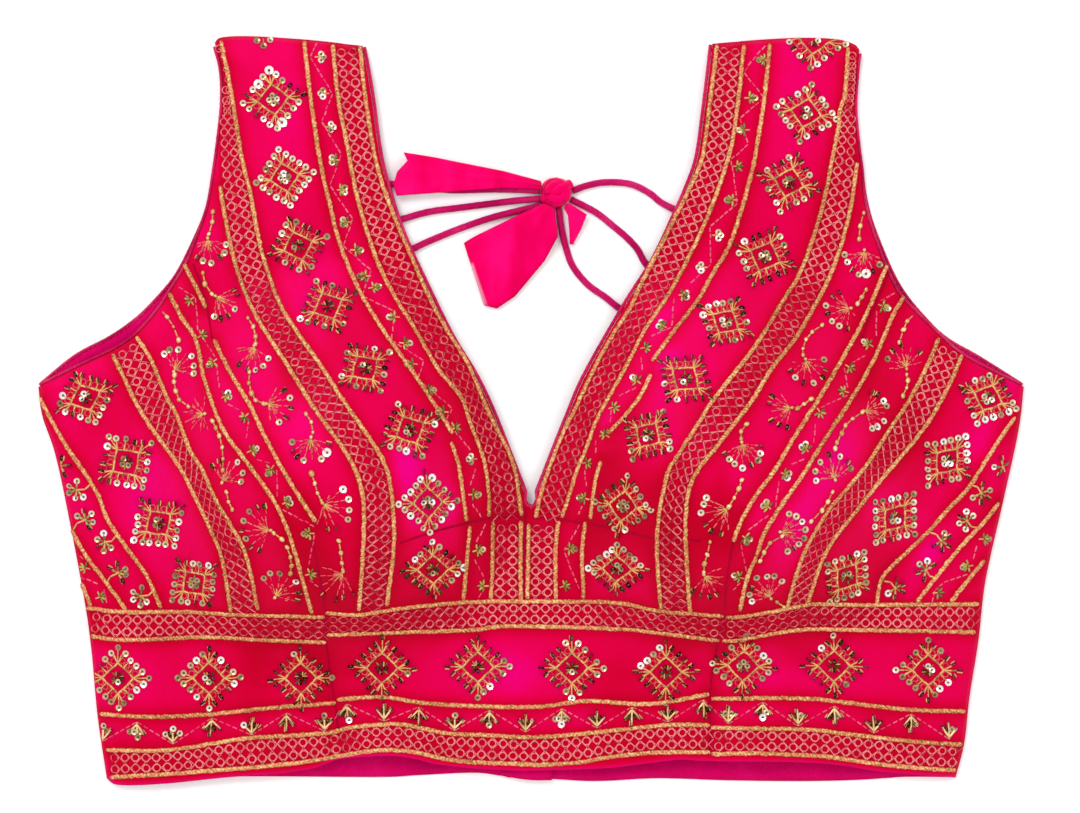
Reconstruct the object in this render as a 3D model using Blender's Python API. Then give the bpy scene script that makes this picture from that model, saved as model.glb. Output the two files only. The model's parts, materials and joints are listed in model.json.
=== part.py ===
"""A sleeveless choli blouse laid flat with its front up.

+X runs across, +Y from the hem to the shoulders, +Z up, and the surface that
it lies on is z = 0. The origin is under the middle of the blouse. Sizes and
tables are in millimetres; the meshes are in metres.
"""

import math
from collections import namedtuple

import bmesh
import bpy
import numpy as np

MM = 0.001

# Cloth, piping and cord
CLOTH = 1.2  # satin and lining together
GAP = 0.3  # left between pieces that are sewn together
PIPING = 0.9  # radius of the corded piping
CORD = 1.65  # radius of the tie strings
TAIL_CLOTH = 2.2  # satin doubled and turned
INSET = 2 * PIPING + GAP  # from a finished edge to the cloth behind its piping
CORNER_TRIM = 1.0  # by which piping stops short of a corner
V_TRIM = 5.0  # and of the point of the V neck
FLOOR_GAP = 0.05  # under round pieces that lie on the surface
BACK_PIPING_Z = PIPING + FLOOR_GAP
FRONT_PIPING_Z = BACK_PIPING_Z + 2 * PIPING + GAP

# Heights of the front's upper face
SEAM_TOP = 2 * CLOTH + GAP  # at the side seams and shoulders
ARMHOLE_TOP = 3.9  # at the armholes, over the piping of the back
LOFT = 6.4  # where the front lies loose on the back
ROLL = 9.0  # how far from a seam the front takes to rise

# Grid of the panels
COLUMNS = 22  # across half of the front
ROWS_LOW = 18  # hem to underarm
ROWS_HIGH = 20  # underarm to shoulder
BACK_COLUMNS = 7
BACK_ROWS_LOW = 7
BACK_ROWS_HIGH = 12
LAP_COLUMNS = 4  # under the deep back neck
V_STEPS = 6  # smooth steps of the neck replaced by its straight point

Cup = namedtuple("Cup", "x y rise inward outward up down")
CUPS = (
    Cup(x=-92, y=-36, rise=33, inward=88, outward=106, up=112, down=96),
    Cup(x=94, y=-36, rise=33, inward=90, outward=104, up=112, down=96),
)
CUP_ROUNDNESS = 1.6  # a lower power gives a rounder cup with a tighter foot

# Low arches in which the loose hem of the front stands off the back
Arch = namedtuple("Arch", "x y rise across along")
ARCHES = (
    Arch(x=-72, y=-172, rise=5.0, across=36, along=34),
    Arch(x=98, y=-174, rise=4.2, across=62, along=34),
)

# Darts pull a trough into the cloth, deepest at the edge they start from
Dart = namedtuple("Dart", "x0 y0 x1 y1 depth width")
DARTS = (
    Dart(x0=-93.5, y0=-172, x1=-105, y1=-56, depth=2.2, width=5.5),
    Dart(x0=87, y0=-172, x1=98, y1=-62, depth=2.2, width=5.5),
    Dart(x0=0, y0=-51, x1=-66, y1=-65, depth=1.2, width=6),
    Dart(x0=0, y0=-52, x1=100, y1=-64, depth=1.2, width=6),
    Dart(x0=-166, y0=73, x1=-154, y1=30, depth=1.4, width=6),
    Dart(x0=170, y0=72, x1=156, y1=30, depth=1.4, width=6),
)

# Soft folds of the laid cloth; a negative height is a hollow
Fold = namedtuple("Fold", "x0 y0 x1 y1 height width")
FOLDS = (
    Fold(x0=-205, y0=-40, x1=-130, y1=-150, height=1.5, width=15),
    Fold(x0=-150, y0=-165, x1=-185, y1=-95, height=-1.2, width=14),
    Fold(x0=150, y0=-155, x1=205, y1=-50, height=1.5, width=15),
    Fold(x0=60, y0=-160, x1=20, y1=-90, height=1.3, width=16),
    Fold(x0=-30, y0=-160, x1=-55, y1=-100, height=-1.0, width=13),
    Fold(x0=-120, y0=165, x1=-125, y1=60, height=1.2, width=16),
    Fold(x0=125, y0=165, x1=130, y1=60, height=1.2, width=16),
)

# Finished edges as laid, each row (across, up)
HEM_LEFT = (
    (-207, -179.5), (-201, -182.6), (-178, -181.8), (-150, -178.9), (-122, -176.7),
    (-106, -174.2), (-92.5, -169.6), (-70, -167.8), (-57, -169.3), (-46, -172.1),
    (-29, -174.2), (-8.5, -175.4), (0, -175.5),
)
HEM_RIGHT = (
    (0, -175.5), (19, -174.9), (38, -174), (57, -171.6), (72.5, -169.8),
    (86, -170.6), (117, -170.8), (137, -171.5), (152, -173), (167, -175.5),
    (187, -177.5), (206.7, -179.1),
)
SIDE_LEFT = (
    (-241.3, 13), (-238.4, -3), (-232, -22), (-225.2, -53.7), (-217.9, -92.7),
    (-214.5, -117), (-211.5, -149), (-207, -179.5),
)
SIDE_RIGHT = (
    (240.8, 13.2), (237.4, -9.8), (230, -44), (221.3, -83), (217.9, -112),
    (213.5, -140), (211, -162), (206.7, -179.1),
)
SHOULDER_LEFT = (
    (-156.4, 178.5), (-151, 181.6), (-137, 182.2), (-112, 180.7), (-93.5, 178.8),
    (-80.3, 177.1),
)
SHOULDER_RIGHT = (
    (161.9, 175.4), (157, 178.4), (148, 180.8), (130, 181.4), (105, 180),
    (86.1, 178.1),
)
STRAP_LEFT = (
    (-156.4, 178.5), (-153, 165.4), (-152.5, 150), (-154.2, 133), (-156.4, 117),
)
STRAP_RIGHT = (
    (161.9, 175.4), (160.5, 165), (159.5, 147), (161.1, 128), (162.6, 117),
)
ARMHOLE_LEFT = STRAP_LEFT + (
    (-159.3, 100), (-164.2, 85.4), (-169.6, 72.2), (-175.4, 62.5), (-183.2, 50.3),
    (-194, 38.1), (-204.2, 31.2), (-223.5, 22), (-241.3, 13),
)
ARMHOLE_RIGHT = STRAP_RIGHT + (
    (163.7, 103.5), (167.6, 87.8), (178.4, 61), (188.1, 49.3), (199.1, 38.6),
    (210, 29), (225.2, 20.5), (240.8, 13.2),
)
BACK_ARMHOLE_LEFT = STRAP_LEFT + (
    (-159.5, 100), (-164.6, 86.5), (-174.5, 66.8), (-185.2, 53.9), (-194, 45.4),
    (-206.2, 36.8), (-223.5, 27.5), (-241.3, 13),
)
BACK_ARMHOLE_RIGHT = STRAP_RIGHT + (
    (164.5, 103.2), (168.9, 87.8), (180.3, 62), (194, 44.6), (204.2, 35.4),
    (218.9, 27), (240.8, 13.2),
)
NECK_LEFT = (
    (-80.3, 177.1), (-78, 165.4), (-75.4, 149.8), (-73, 131.3), (-70.3, 117.1),
    (-65.1, 99.1), (-59.3, 83), (-51, 64.9), (-37.3, 37.1), (-26, 18.5),
    (-17.3, 0.5), (-6, -28.3), (-0.4, -43),
)
NECK_RIGHT = (
    (86.1, 178.1), (82.2, 146.4), (78.8, 123), (73.4, 107.8), (67.6, 94.7),
    (57.3, 73.2), (43.7, 51.7), (24.6, 18.1), (16.3, -1), (8.1, -21.5), (0, -43),
)
V_BOTTOM = (-0.2, -50.5)

# The deep back neck: down each strap, then round to the lapped centre
BACK_NECK_LEFT = (
    (-80.3, 177.1), (-84.5, 160), (-83.5, 146), (-79, 117), (-67.8, 83),
    (-59.5, 64.9), (-46, 37), (-34, 17), (-26.5, 0), (-20, -22),
)
BACK_NECK_RIGHT = (
    (86.1, 178.1), (90.8, 160), (90.3, 146), (87, 123), (82.2, 107.8),
    (76.2, 94.7), (65.8, 73.2), (51.8, 51.7), (32.8, 18.1), (25, -1), (19, -22),
)
BACK_SCOOP_LEFT = ((-20, -22), (-17.5, -38), (-10, -52), (-1, -59.5), (10, -62))
BACK_SCOOP_RIGHT = ((19, -22), (16.5, -38), (9, -52), (-1, -59), (-12, -61.5))
BACK_HEM_LEFT = (
    (-207, -179.5), (-136.4, -178.7), (-74, -179), (-55.4, -178.1), (-29, -176.9),
    (-16.3, -178.1), (-1.2, -180.2), (10, -180.3),
)
BACK_HEM_RIGHT = (
    (206.7, -179.1), (184, -178.9), (172, -179.6), (157, -180.5), (131, -181),
    (95, -180.6), (72.5, -179.8), (57, -179.7), (31.5, -181), (10, -180), (-12, -179.2),
)

# The left half of the back laps over the right half at the centre
LAP_START = -22.0
LAP_END = -4.0
LAP_RISE = 3.1

# Knot of the ties
KNOT_X, KNOT_Y = 12.0, 106.0
Ring = namedtuple("Ring", "radius z")
KNOT_RINGS = (
    Ring(5.4, 0.1), Ring(7.3, 0.8), Ring(8.0, 2.2), Ring(8.1, 4.3), Ring(7.3, 6.4),
    Ring(5.0, 8.0),
)
KNOT_SIDES = 16
KNOT_WRAPS = 3
KNOT_WRAP_DEPTH = 0.04

# Routes of the strings, from the back neck to the knot
STRINGS = {
    "string_right_1": (
        (46.7, 47.2), (41.2, 50.8), (35.9, 55.1), (27.6, 61), (20.3, 69.8),
        (16.8, 79.1), (14.9, 86.9), (13.4, 97.2),
    ),
    "string_right_2": (
        (58.4, 67.6), (54.4, 73.2), (51.5, 78.6), (46.1, 84.4), (40.3, 89.3),
        (32.5, 95.6), (26, 99.3), (20.1, 102.2),
    ),
    "string_right_3": (
        (74.4, 95.6), (68.1, 98.6), (62.7, 101.5), (57.3, 105.9), (48, 110.2),
        (36, 111), (27, 109.4), (20.9, 107.2),
    ),
    "string_left_1": (
        (-75.8, 110.6), (-68.3, 110.2), (-55, 108.6), (-38, 107.2), (-20, 107.6),
        (-6, 107.4), (3.1, 106.9),
    ),
    "string_left_2": (
        (-68.9, 91.4), (-62.5, 93.2), (-50, 96.6), (-35, 98.6), (-18, 100.8),
        (-6, 102.2), (3.7, 102.9),
    ),
    "string_left_3": (
        (-62.6, 75.7), (-56.2, 79.4), (-46, 84), (-34, 88.8), (-20, 93.6),
        (-6, 97.2), (5.4, 99.7),
    ),
}
STRING_STEP = 6.8

# Tails: each row is a section from the knot to the free end, with its two edges
Section = namedtuple("Section", "x0 y0 x1 y1 z")
TAILS = {
    "tail_upper": (
        Section(1.5, 113.2, 2.8, 108.2, 6.6),
        Section(-14, 116.4, -14, 108.0, 6.2),
        Section(-34.9, 120.5, -34, 106.6, 6.1),
        Section(-47.1, 123.6, -49, 105.4, 6.1),
        Section(-58.6, 126.0, -65.6, 104.2, 6.1),
    ),
    "tail_lower": (
        Section(4.6, 99.4, 10.8, 96.6, 6.8),
        Section(-6.0, 95.2, 13.0, 87.0, 6.2),
        Section(-19.6, 88.8, 3.4, 71.4, 3.6),
        Section(-27.0, 85.4, -7.2, 58.6, 2.8),
        Section(-33.0, 82.4, -17.4, 50.0, 2.5),
    ),
    "tail_small": (
        Section(16.6, 96.8, 19.8, 99.0, 6.4),
        Section(18.4, 92.4, 25.8, 93.4, 5.2),
        Section(18.9, 86.4, 24.2, 87.4, 3.6),
        Section(19.4, 82.2, 21.4, 82.6, 2.6),
    ),
}
TAIL_COLUMNS = 4
TAIL_CROWN = 1.1

# Hooks of the back opening lie between the two laps
HOOK_LEVELS = (-78, -110, -142, -174)
HOOK_X = 12.0
HOOK_WIRE = 0.5
HOOK_Z = 2.15
HOOK_ROUTE = (
    (1.0, 2.2), (0.2, 2.2), (-0.5, 1.4), (-1.8, 1.0), (-7.0, 0.9), (-8.3, 0.0),
    (-7.0, -0.9), (-2.8, -1.0),
)

# Colours as red, green, blue
SATIN = (0.87, 0.005, 0.12)
LINING = (0.50, 0.003, 0.13)
PIPING_SATIN = (0.45, 0.006, 0.10)
BRASS = (0.62, 0.45, 0.16)


def finish(name, colour, roughness=0.42, metallic=0.0):
    material = bpy.data.materials.new(name)
    material.use_nodes = True
    shader = material.node_tree.nodes["Principled BSDF"]
    shader.inputs["Base Color"].default_value = (*colour, 1.0)
    shader.inputs["Roughness"].default_value = roughness
    shader.inputs["Metallic"].default_value = metallic
    return material


def smooth(rows, steps=10):
    """A curve through the rows: each stretch leaves and meets its ends along their neighbours."""
    rows = np.array(rows, float)
    ends = np.vstack([2 * rows[0] - rows[1], rows, 2 * rows[-1] - rows[-2]])
    u = np.linspace(0, 1, steps, endpoint=False)[:, None]
    curve = []
    for a, b, c, d in zip(ends, ends[1:], ends[2:], ends[3:]):
        curve.append(
            0.5 * (2 * b + (c - a) * u + (2 * a - 5 * b + 4 * c - d) * u**2
                   + (3 * b - a - 3 * c + d) * u**3)
        )
    return np.vstack([*curve, rows[-1:]])


def even(curve, count):
    """The curve's points again, count stretches of one length."""
    lengths = np.linalg.norm(np.diff(curve, axis=0), axis=1)
    along = np.concatenate([[0], np.cumsum(lengths)])
    wanted = np.linspace(0, along[-1], count + 1)
    return np.column_stack([np.interp(wanted, along, axis) for axis in curve.T])


def beside(curve, distance):
    """The curve moved to its left by the distance, or to its right if that is negative."""
    tangent = np.gradient(curve, axis=0)
    tangent /= np.linalg.norm(tangent, axis=1)[:, None]
    return curve + distance * np.column_stack([-tangent[:, 1], tangent[:, 0]])


def patch(bottom, top, left, right):
    """A grid of points that fills four edges; left and right run from bottom to top."""
    s = np.linspace(0, 1, len(bottom))[None, :, None]
    t = np.linspace(0, 1, len(left))[:, None, None]
    across = (1 - t) * bottom[None] + t * top[None]
    up = (1 - s) * left[:, None] + s * right[:, None]
    low = (1 - s) * bottom[0] + s * bottom[-1]
    high = (1 - s) * top[0] + s * top[-1]
    return across + up - (1 - t) * low - t * high


def distance_to(points, line):
    """How far each point lies from a line of points."""
    start, step = line[:-1], np.diff(line, axis=0)
    away = points[:, None] - start[None]
    share = (away * step).sum(2) / np.maximum((step * step).sum(1), 1e-9)
    nearest = away - np.clip(share, 0, 1)[..., None] * step
    return np.linalg.norm(nearest, axis=2).min(1)


def ridge(points, x0, y0, x1, y1, width):
    """Closeness to a straight crease, and how far along it each point lies."""
    start, step = np.array([x0, y0]), np.array([x1 - x0, y1 - y0])
    share = np.clip(((points - start) @ step) / (step @ step), 0, 1)
    away = np.linalg.norm(points - start - share[:, None] * step, axis=1)
    return np.exp(-((away / width) ** 2)), share


def cup_height(points, cup):
    dx = (points[:, 0] - cup.x) * math.copysign(1, cup.x)
    dy = points[:, 1] - cup.y
    wide = np.where(dx > 0, cup.outward, cup.inward)
    tall = np.where(dy > 0, cup.up, cup.down)
    inside = np.clip(1 - (dx / wide) ** 2 - (dy / tall) ** 2, 0, 1)
    return cup.rise * inside**CUP_ROUNDNESS


def front_height(points, seams):
    """Height of the front's upper face over each point."""
    rest = np.full(len(points), LOFT)
    for line, top in seams:
        rise = 1 - np.exp(-distance_to(points, line) / ROLL)
        rest = np.minimum(rest, top + (LOFT - top) * rise)
    loose = (rest - SEAM_TOP) / (LOFT - SEAM_TOP)
    height = rest + sum(cup_height(points, cup) for cup in CUPS)
    for arch in ARCHES:
        away = ((points[:, 0] - arch.x) / arch.across) ** 2
        away += ((points[:, 1] - arch.y) / arch.along) ** 2
        height += arch.rise * np.exp(-away) * loose
    for fold in FOLDS:
        near, share = ridge(points, fold.x0, fold.y0, fold.x1, fold.y1, fold.width)
        height += fold.height * near * np.sin(math.pi * share) * loose
    for dart in DARTS:
        near, share = ridge(points, dart.x0, dart.y0, dart.x1, dart.y1, dart.width)
        height -= dart.depth * near * (1 - share) * loose
    return height


def lap_height(points):
    """Height of the left back's upper face, which climbs on to the lap at the centre."""
    share = np.clip((points[:, 0] - LAP_START) / (LAP_END - LAP_START), 0, 1)
    return CLOTH + LAP_RISE * share * share * (3 - 2 * share)


def flat_height(points):
    return np.full(len(points), CLOTH)


def add_object(name, data, material):
    item = bpy.data.objects.new(name, data)
    item.data.materials.append(material)
    bpy.context.scene.collection.objects.link(item)
    return item


def sew(name, grids, height, material, thickness):
    """One panel from grids that share edges, given its height and its thickness."""
    cloth = bmesh.new()
    for grid in grids:
        rows, columns = grid.shape[:2]
        flat = grid.reshape(-1, 2)
        points = np.column_stack([flat, height(flat)]) * MM
        corners = [cloth.verts.new(point) for point in points]
        for row in range(rows - 1):
            for column in range(columns - 1):
                first = row * columns + column
                ring = (first, first + 1, first + columns + 1, first + columns)
                cloth.faces.new([corners[index] for index in ring])
    bmesh.ops.remove_doubles(cloth, verts=cloth.verts, dist=0.01 * MM)
    bmesh.ops.recalc_face_normals(cloth, faces=cloth.faces)
    if sum(face.normal.z for face in cloth.faces) < 0:
        bmesh.ops.reverse_faces(cloth, faces=cloth.faces)
    mesh = bpy.data.meshes.new(name)
    cloth.to_mesh(mesh)
    cloth.free()
    mesh.shade_smooth()
    panel = add_object(name, mesh, material)
    wall = panel.modifiers.new("wall", "SOLIDIFY")
    wall.thickness = thickness * MM
    wall.offset = -1
    return panel


def tube(name, points, radius, material, resolution=1):
    """A round cord through the points."""
    curve = bpy.data.curves.new(name, "CURVE")
    curve.dimensions = "3D"
    curve.bevel_depth = radius * MM
    curve.bevel_resolution = resolution
    curve.use_fill_caps = True
    spline = curve.splines.new("POLY")
    spline.points.add(len(points) - 1)
    for knot, point in zip(spline.points, points):
        knot.co = (*(np.array(point) * MM), 1.0)
    return add_object(name, curve, material)


def shorten(line, start, end):
    """The line without a length at its start and at its end."""
    steps = np.linalg.norm(np.diff(line, axis=0), axis=1)
    along = np.concatenate([[0], np.cumsum(steps)])
    inside = along[(along > start + GAP) & (along < along[-1] - end - GAP)]
    wanted = np.concatenate([[start], inside, [along[-1] - end]])
    return np.column_stack([np.interp(wanted, along, axis) for axis in line.T])


def piping(name, edge, out, height, material, lowest, start=CORNER_TRIM):
    """Piping along a panel's cut edge; out is 1 where it lies on the edge's left, or -1."""
    middle = beside(edge, out * (PIPING + GAP))
    z = np.maximum(height(edge) - CLOTH / 2, lowest)
    line = shorten(np.column_stack([middle, z]), start, CORNER_TRIM)
    tube(name, line, PIPING, material)


def make_front(satin, trim):
    middle = even(np.array([HEM_LEFT[-1], V_BOTTOM]), ROWS_LOW)
    seams, halves = [], []
    for sign, hem, side, armhole, shoulder, neck in (
        (1, HEM_LEFT, SIDE_LEFT, ARMHOLE_LEFT, SHOULDER_LEFT, NECK_LEFT),
        (-1, HEM_RIGHT[::-1], SIDE_RIGHT, ARMHOLE_RIGHT, SHOULDER_RIGHT, NECK_RIGHT),
    ):
        armhole = beside(smooth(armhole), sign * INSET)
        neck = np.vstack([beside(smooth(neck), -sign * INSET)[:-V_STEPS], V_BOTTOM])
        side = smooth((armhole[-1], *side[1:]))
        shoulder = smooth((armhole[0], *shoulder[1:-1], neck[0]))
        seams += [(side, SEAM_TOP), (shoulder, SEAM_TOP), (armhole, ARMHOLE_TOP)]
        halves.append((
            even(smooth(hem), COLUMNS), even(side[::-1], ROWS_LOW),
            even(np.array([armhole[-1], V_BOTTOM]), COLUMNS), even(shoulder, COLUMNS),
            even(armhole[::-1], ROWS_HIGH), even(neck[::-1], ROWS_HIGH),
        ))

    def height(points):
        return front_height(points, seams)

    grids = []
    for hem, side, bust, shoulder, armhole, neck in halves:
        grids.append(patch(hem, bust, side, middle))
        grids.append(patch(bust, shoulder, armhole, neck))
    sew("front", grids, height, satin, CLOTH)
    (*_, armhole_left, neck_left), (*_, armhole_right, neck_right) = halves
    low = FRONT_PIPING_Z
    piping("armhole_piping_left", armhole_left, 1, height, trim, low)
    piping("armhole_piping_right", armhole_right, -1, height, trim, low)
    piping("neck_piping_left", neck_left, -1, height, trim, low, start=V_TRIM)
    piping("neck_piping_right", neck_right, 1, height, trim, low, start=2 * V_TRIM)


def make_back(name, sign, tables, height, lining, trim):
    """Half of the back; sign is 1 for the left half and -1 for the right."""
    hem, side, armhole, shoulder, neck, scoop = tables
    armhole = beside(smooth(armhole), sign * INSET)
    turn = len(smooth(neck)) - 1
    inner = beside(np.vstack([smooth(neck)[:-1], smooth(scoop)]), -sign * INSET)
    side = even(smooth((armhole[-1], *side[1:]))[::-1], BACK_ROWS_LOW)
    shoulder = even(smooth((armhole[0], *shoulder[1:-1], inner[0])), BACK_COLUMNS)
    hem = even(smooth(hem), BACK_COLUMNS + LAP_COLUMNS)
    bust = even(np.array([armhole[-1], inner[turn]]), BACK_COLUMNS)
    centre = even(np.array([hem[-1], inner[-1]]), BACK_ROWS_LOW)
    armhole = even(armhole[::-1], BACK_ROWS_HIGH)
    neck = even(inner[turn::-1], BACK_ROWS_HIGH)
    scoop = even(inner[turn:], LAP_COLUMNS)
    grids = (
        patch(hem, np.vstack([bust[:-1], scoop]), side, centre),
        patch(bust, shoulder, armhole, neck),
    )
    sew(f"back_{name}", grids, height, lining, CLOTH)
    low = BACK_PIPING_Z
    piping(f"back_armhole_piping_{name}", armhole, sign, height, trim, low)
    whole_neck = np.vstack([scoop[:0:-1], neck])
    piping(f"back_neck_piping_{name}", whole_neck, -sign, height, trim, low)


def make_backs(lining, trim):
    left = (
        BACK_HEM_LEFT, SIDE_LEFT, BACK_ARMHOLE_LEFT, SHOULDER_LEFT, BACK_NECK_LEFT,
        BACK_SCOOP_LEFT,
    )
    right = (
        BACK_HEM_RIGHT, SIDE_RIGHT, BACK_ARMHOLE_RIGHT, SHOULDER_RIGHT,
        BACK_NECK_RIGHT, BACK_SCOOP_RIGHT,
    )
    make_back("left", 1, left, lap_height, lining, trim)
    make_back("right", -1, right, flat_height, lining, trim)


def make_strings(satin):
    for name, rows in STRINGS.items():
        curve = smooth(rows)
        length = np.linalg.norm(np.diff(curve, axis=0), axis=1).sum()
        route = even(curve, round(length / STRING_STEP))
        z = np.full(len(route), CORD + FLOOR_GAP)
        tube(name, np.column_stack([route, z]), CORD, satin, 2)


def make_knot(satin):
    """A flat round knot with its wraps as shallow waves that lean round it."""
    knot = bmesh.new()
    rings = []
    for level, ring in enumerate(KNOT_RINGS):
        points = []
        for step in range(KNOT_SIDES):
            angle = 2 * math.pi * step / KNOT_SIDES
            wave = 1 - KNOT_WRAP_DEPTH * (1 + math.cos(KNOT_WRAPS * angle + level))
            x = KNOT_X + ring.radius * wave * math.cos(angle)
            y = KNOT_Y + ring.radius * wave * math.sin(angle)
            points.append(knot.verts.new((x * MM, y * MM, ring.z * MM)))
        rings.append(points)
    for low, high in zip(rings, rings[1:]):
        for step in range(KNOT_SIDES):
            after = (step + 1) % KNOT_SIDES
            knot.faces.new((low[step], low[after], high[after], high[step]))
    knot.faces.new(rings[0][::-1])
    knot.faces.new(rings[-1])
    bmesh.ops.recalc_face_normals(knot, faces=knot.faces)
    mesh = bpy.data.meshes.new("knot")
    knot.to_mesh(mesh)
    knot.free()
    mesh.shade_smooth()
    add_object("knot", mesh, satin)


def make_tails(satin):
    """Doubled satin tails, a little crowned across."""
    share = np.linspace(0, 1, TAIL_COLUMNS + 1)
    for name, sections in TAILS.items():
        left = np.array([(s.x0, s.y0) for s in sections])
        right = np.array([(s.x1, s.y1) for s in sections])
        grid = (1 - share)[None, :, None] * left[:, None] + share[None, :, None] * right[:, None]
        rise = TAIL_CROWN * np.sin(math.pi * share)
        tops = (np.array([s.z for s in sections])[:, None] + rise[None]).ravel()
        sew(name, (grid,), lambda points, tops=tops: tops, satin, TAIL_CLOTH)


def make_hooks(brass):
    for number, level in enumerate(HOOK_LEVELS, 1):
        route = [(HOOK_X + x, level + y, HOOK_Z) for x, y in HOOK_ROUTE]
        tube(f"hook_{number}", route, HOOK_WIRE, brass)


def main():
    for item in list(bpy.data.objects):
        bpy.data.objects.remove(item, do_unlink=True)
    satin = finish("satin", SATIN)
    lining = finish("lining", LINING, roughness=0.6)
    trim = finish("piping", PIPING_SATIN)
    make_front(satin, trim)
    make_backs(lining, trim)
    make_strings(trim)
    make_knot(satin)
    make_tails(satin)
    make_hooks(finish("brass", BRASS, roughness=0.3, metallic=1.0))


main()
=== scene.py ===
import json
import math
from collections import namedtuple

import bmesh
import bpy
import numpy as np
from mathutils.kdtree import KDTree
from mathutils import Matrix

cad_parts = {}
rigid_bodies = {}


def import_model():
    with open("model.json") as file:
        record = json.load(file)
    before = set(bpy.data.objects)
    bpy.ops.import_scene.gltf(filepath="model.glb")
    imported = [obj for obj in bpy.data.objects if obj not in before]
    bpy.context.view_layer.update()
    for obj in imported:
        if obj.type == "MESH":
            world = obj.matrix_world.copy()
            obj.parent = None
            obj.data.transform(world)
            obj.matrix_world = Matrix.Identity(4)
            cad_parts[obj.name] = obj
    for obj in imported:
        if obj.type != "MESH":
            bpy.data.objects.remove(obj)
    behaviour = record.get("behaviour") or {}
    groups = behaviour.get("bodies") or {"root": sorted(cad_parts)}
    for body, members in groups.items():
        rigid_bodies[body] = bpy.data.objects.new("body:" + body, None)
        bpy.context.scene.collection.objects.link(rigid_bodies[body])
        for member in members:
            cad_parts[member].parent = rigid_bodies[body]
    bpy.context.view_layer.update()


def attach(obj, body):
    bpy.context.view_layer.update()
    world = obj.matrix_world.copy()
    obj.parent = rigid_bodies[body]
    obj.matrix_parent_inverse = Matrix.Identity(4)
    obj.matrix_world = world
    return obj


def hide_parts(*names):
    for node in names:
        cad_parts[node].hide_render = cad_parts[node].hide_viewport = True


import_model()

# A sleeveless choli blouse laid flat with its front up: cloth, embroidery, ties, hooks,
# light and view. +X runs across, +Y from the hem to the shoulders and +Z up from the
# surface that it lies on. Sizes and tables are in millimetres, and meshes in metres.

MM = 0.001
UP = (0, 0, 1)

# ---------------------------------------------------------------- the blouse's own sizes

CLOTH = 1.2  # satin and lining together
GAP = 0.3  # left between pieces that are sewn together
PIPING = 0.9  # radius of the corded piping
CORD = 1.65  # radius of the tie strings
TAIL_CLOTH = 2.2  # satin doubled and turned
INSET = 2 * PIPING + GAP  # from a finished edge to the cloth behind its piping
PIPING_GAP = 0.05  # between a piping and its cloth
PIPING_SEEN = 0.82 * PIPING
PIPING_END = 2.0  # how far before the corner of the shoulder a piping ends
PIPING_STEP = 1.2  # between the points of its line
PIPING_SIDES = 8
RIPPLE = 0.05  # share by which the piping's stitches draw it in
RIPPLE_LENGTH = 2.7  # in points of its line
FLOOR_GAP = 0.05  # between the lowest pieces and the surface
BACK_PIPING_Z = PIPING + FLOOR_GAP
FRONT_PIPING_Z = BACK_PIPING_Z + 2 * PIPING + GAP
SEAM_TOP = 2 * CLOTH + GAP  # upper face of the front where it is sewn to the back
ARMHOLE_TOP = 3.9  # the same at the armholes
LOFT = 6.4  # upper face of the front where it lies loose
ROLL = 9.0  # how far from a seam the front reaches it
V_STEPS = 6  # points of the neck's curve that its corner takes the place of

# Grid of the cloth: about 2.5 mm a face
COLUMNS = 96
ROWS_LOW = 76
ROWS_HIGH = 78
BACK_COLUMNS = 40
BACK_ROWS_LOW = 44
BACK_ROWS_HIGH = 52
LAP_COLUMNS = 14

Cup = namedtuple("Cup", "x y rise inward outward up down")
CUPS = (
    Cup(x=-92, y=-36, rise=33, inward=88, outward=106, up=112, down=96),
    Cup(x=94, y=-36, rise=33, inward=90, outward=104, up=112, down=96),
)
CUP_ROUNDNESS = 1.6  # a power: higher is steeper in the middle and flatter at the rim

Arch = namedtuple("Arch", "x y rise across along")
ARCHES = (
    Arch(x=-72, y=-172, rise=5.0, across=36, along=34),
    Arch(x=98, y=-174, rise=4.2, across=62, along=34),
)

# Darts, each from its wide end to its point
Dart = namedtuple("Dart", "x0 y0 x1 y1 depth width")
DARTS = [Dart(*row) for row in (
    (-93.5, -172, -105, -56, 2.2, 5.5), (87, -172, 98, -62, 2.2, 5.5),
    (0, -51, -66, -65, 1.2, 6), (0, -52, 100, -64, 1.2, 6), (-166, 73, -154, 30, 1.4, 6),
    (170, 72, 156, 30, 1.4, 6),
)]

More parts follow.
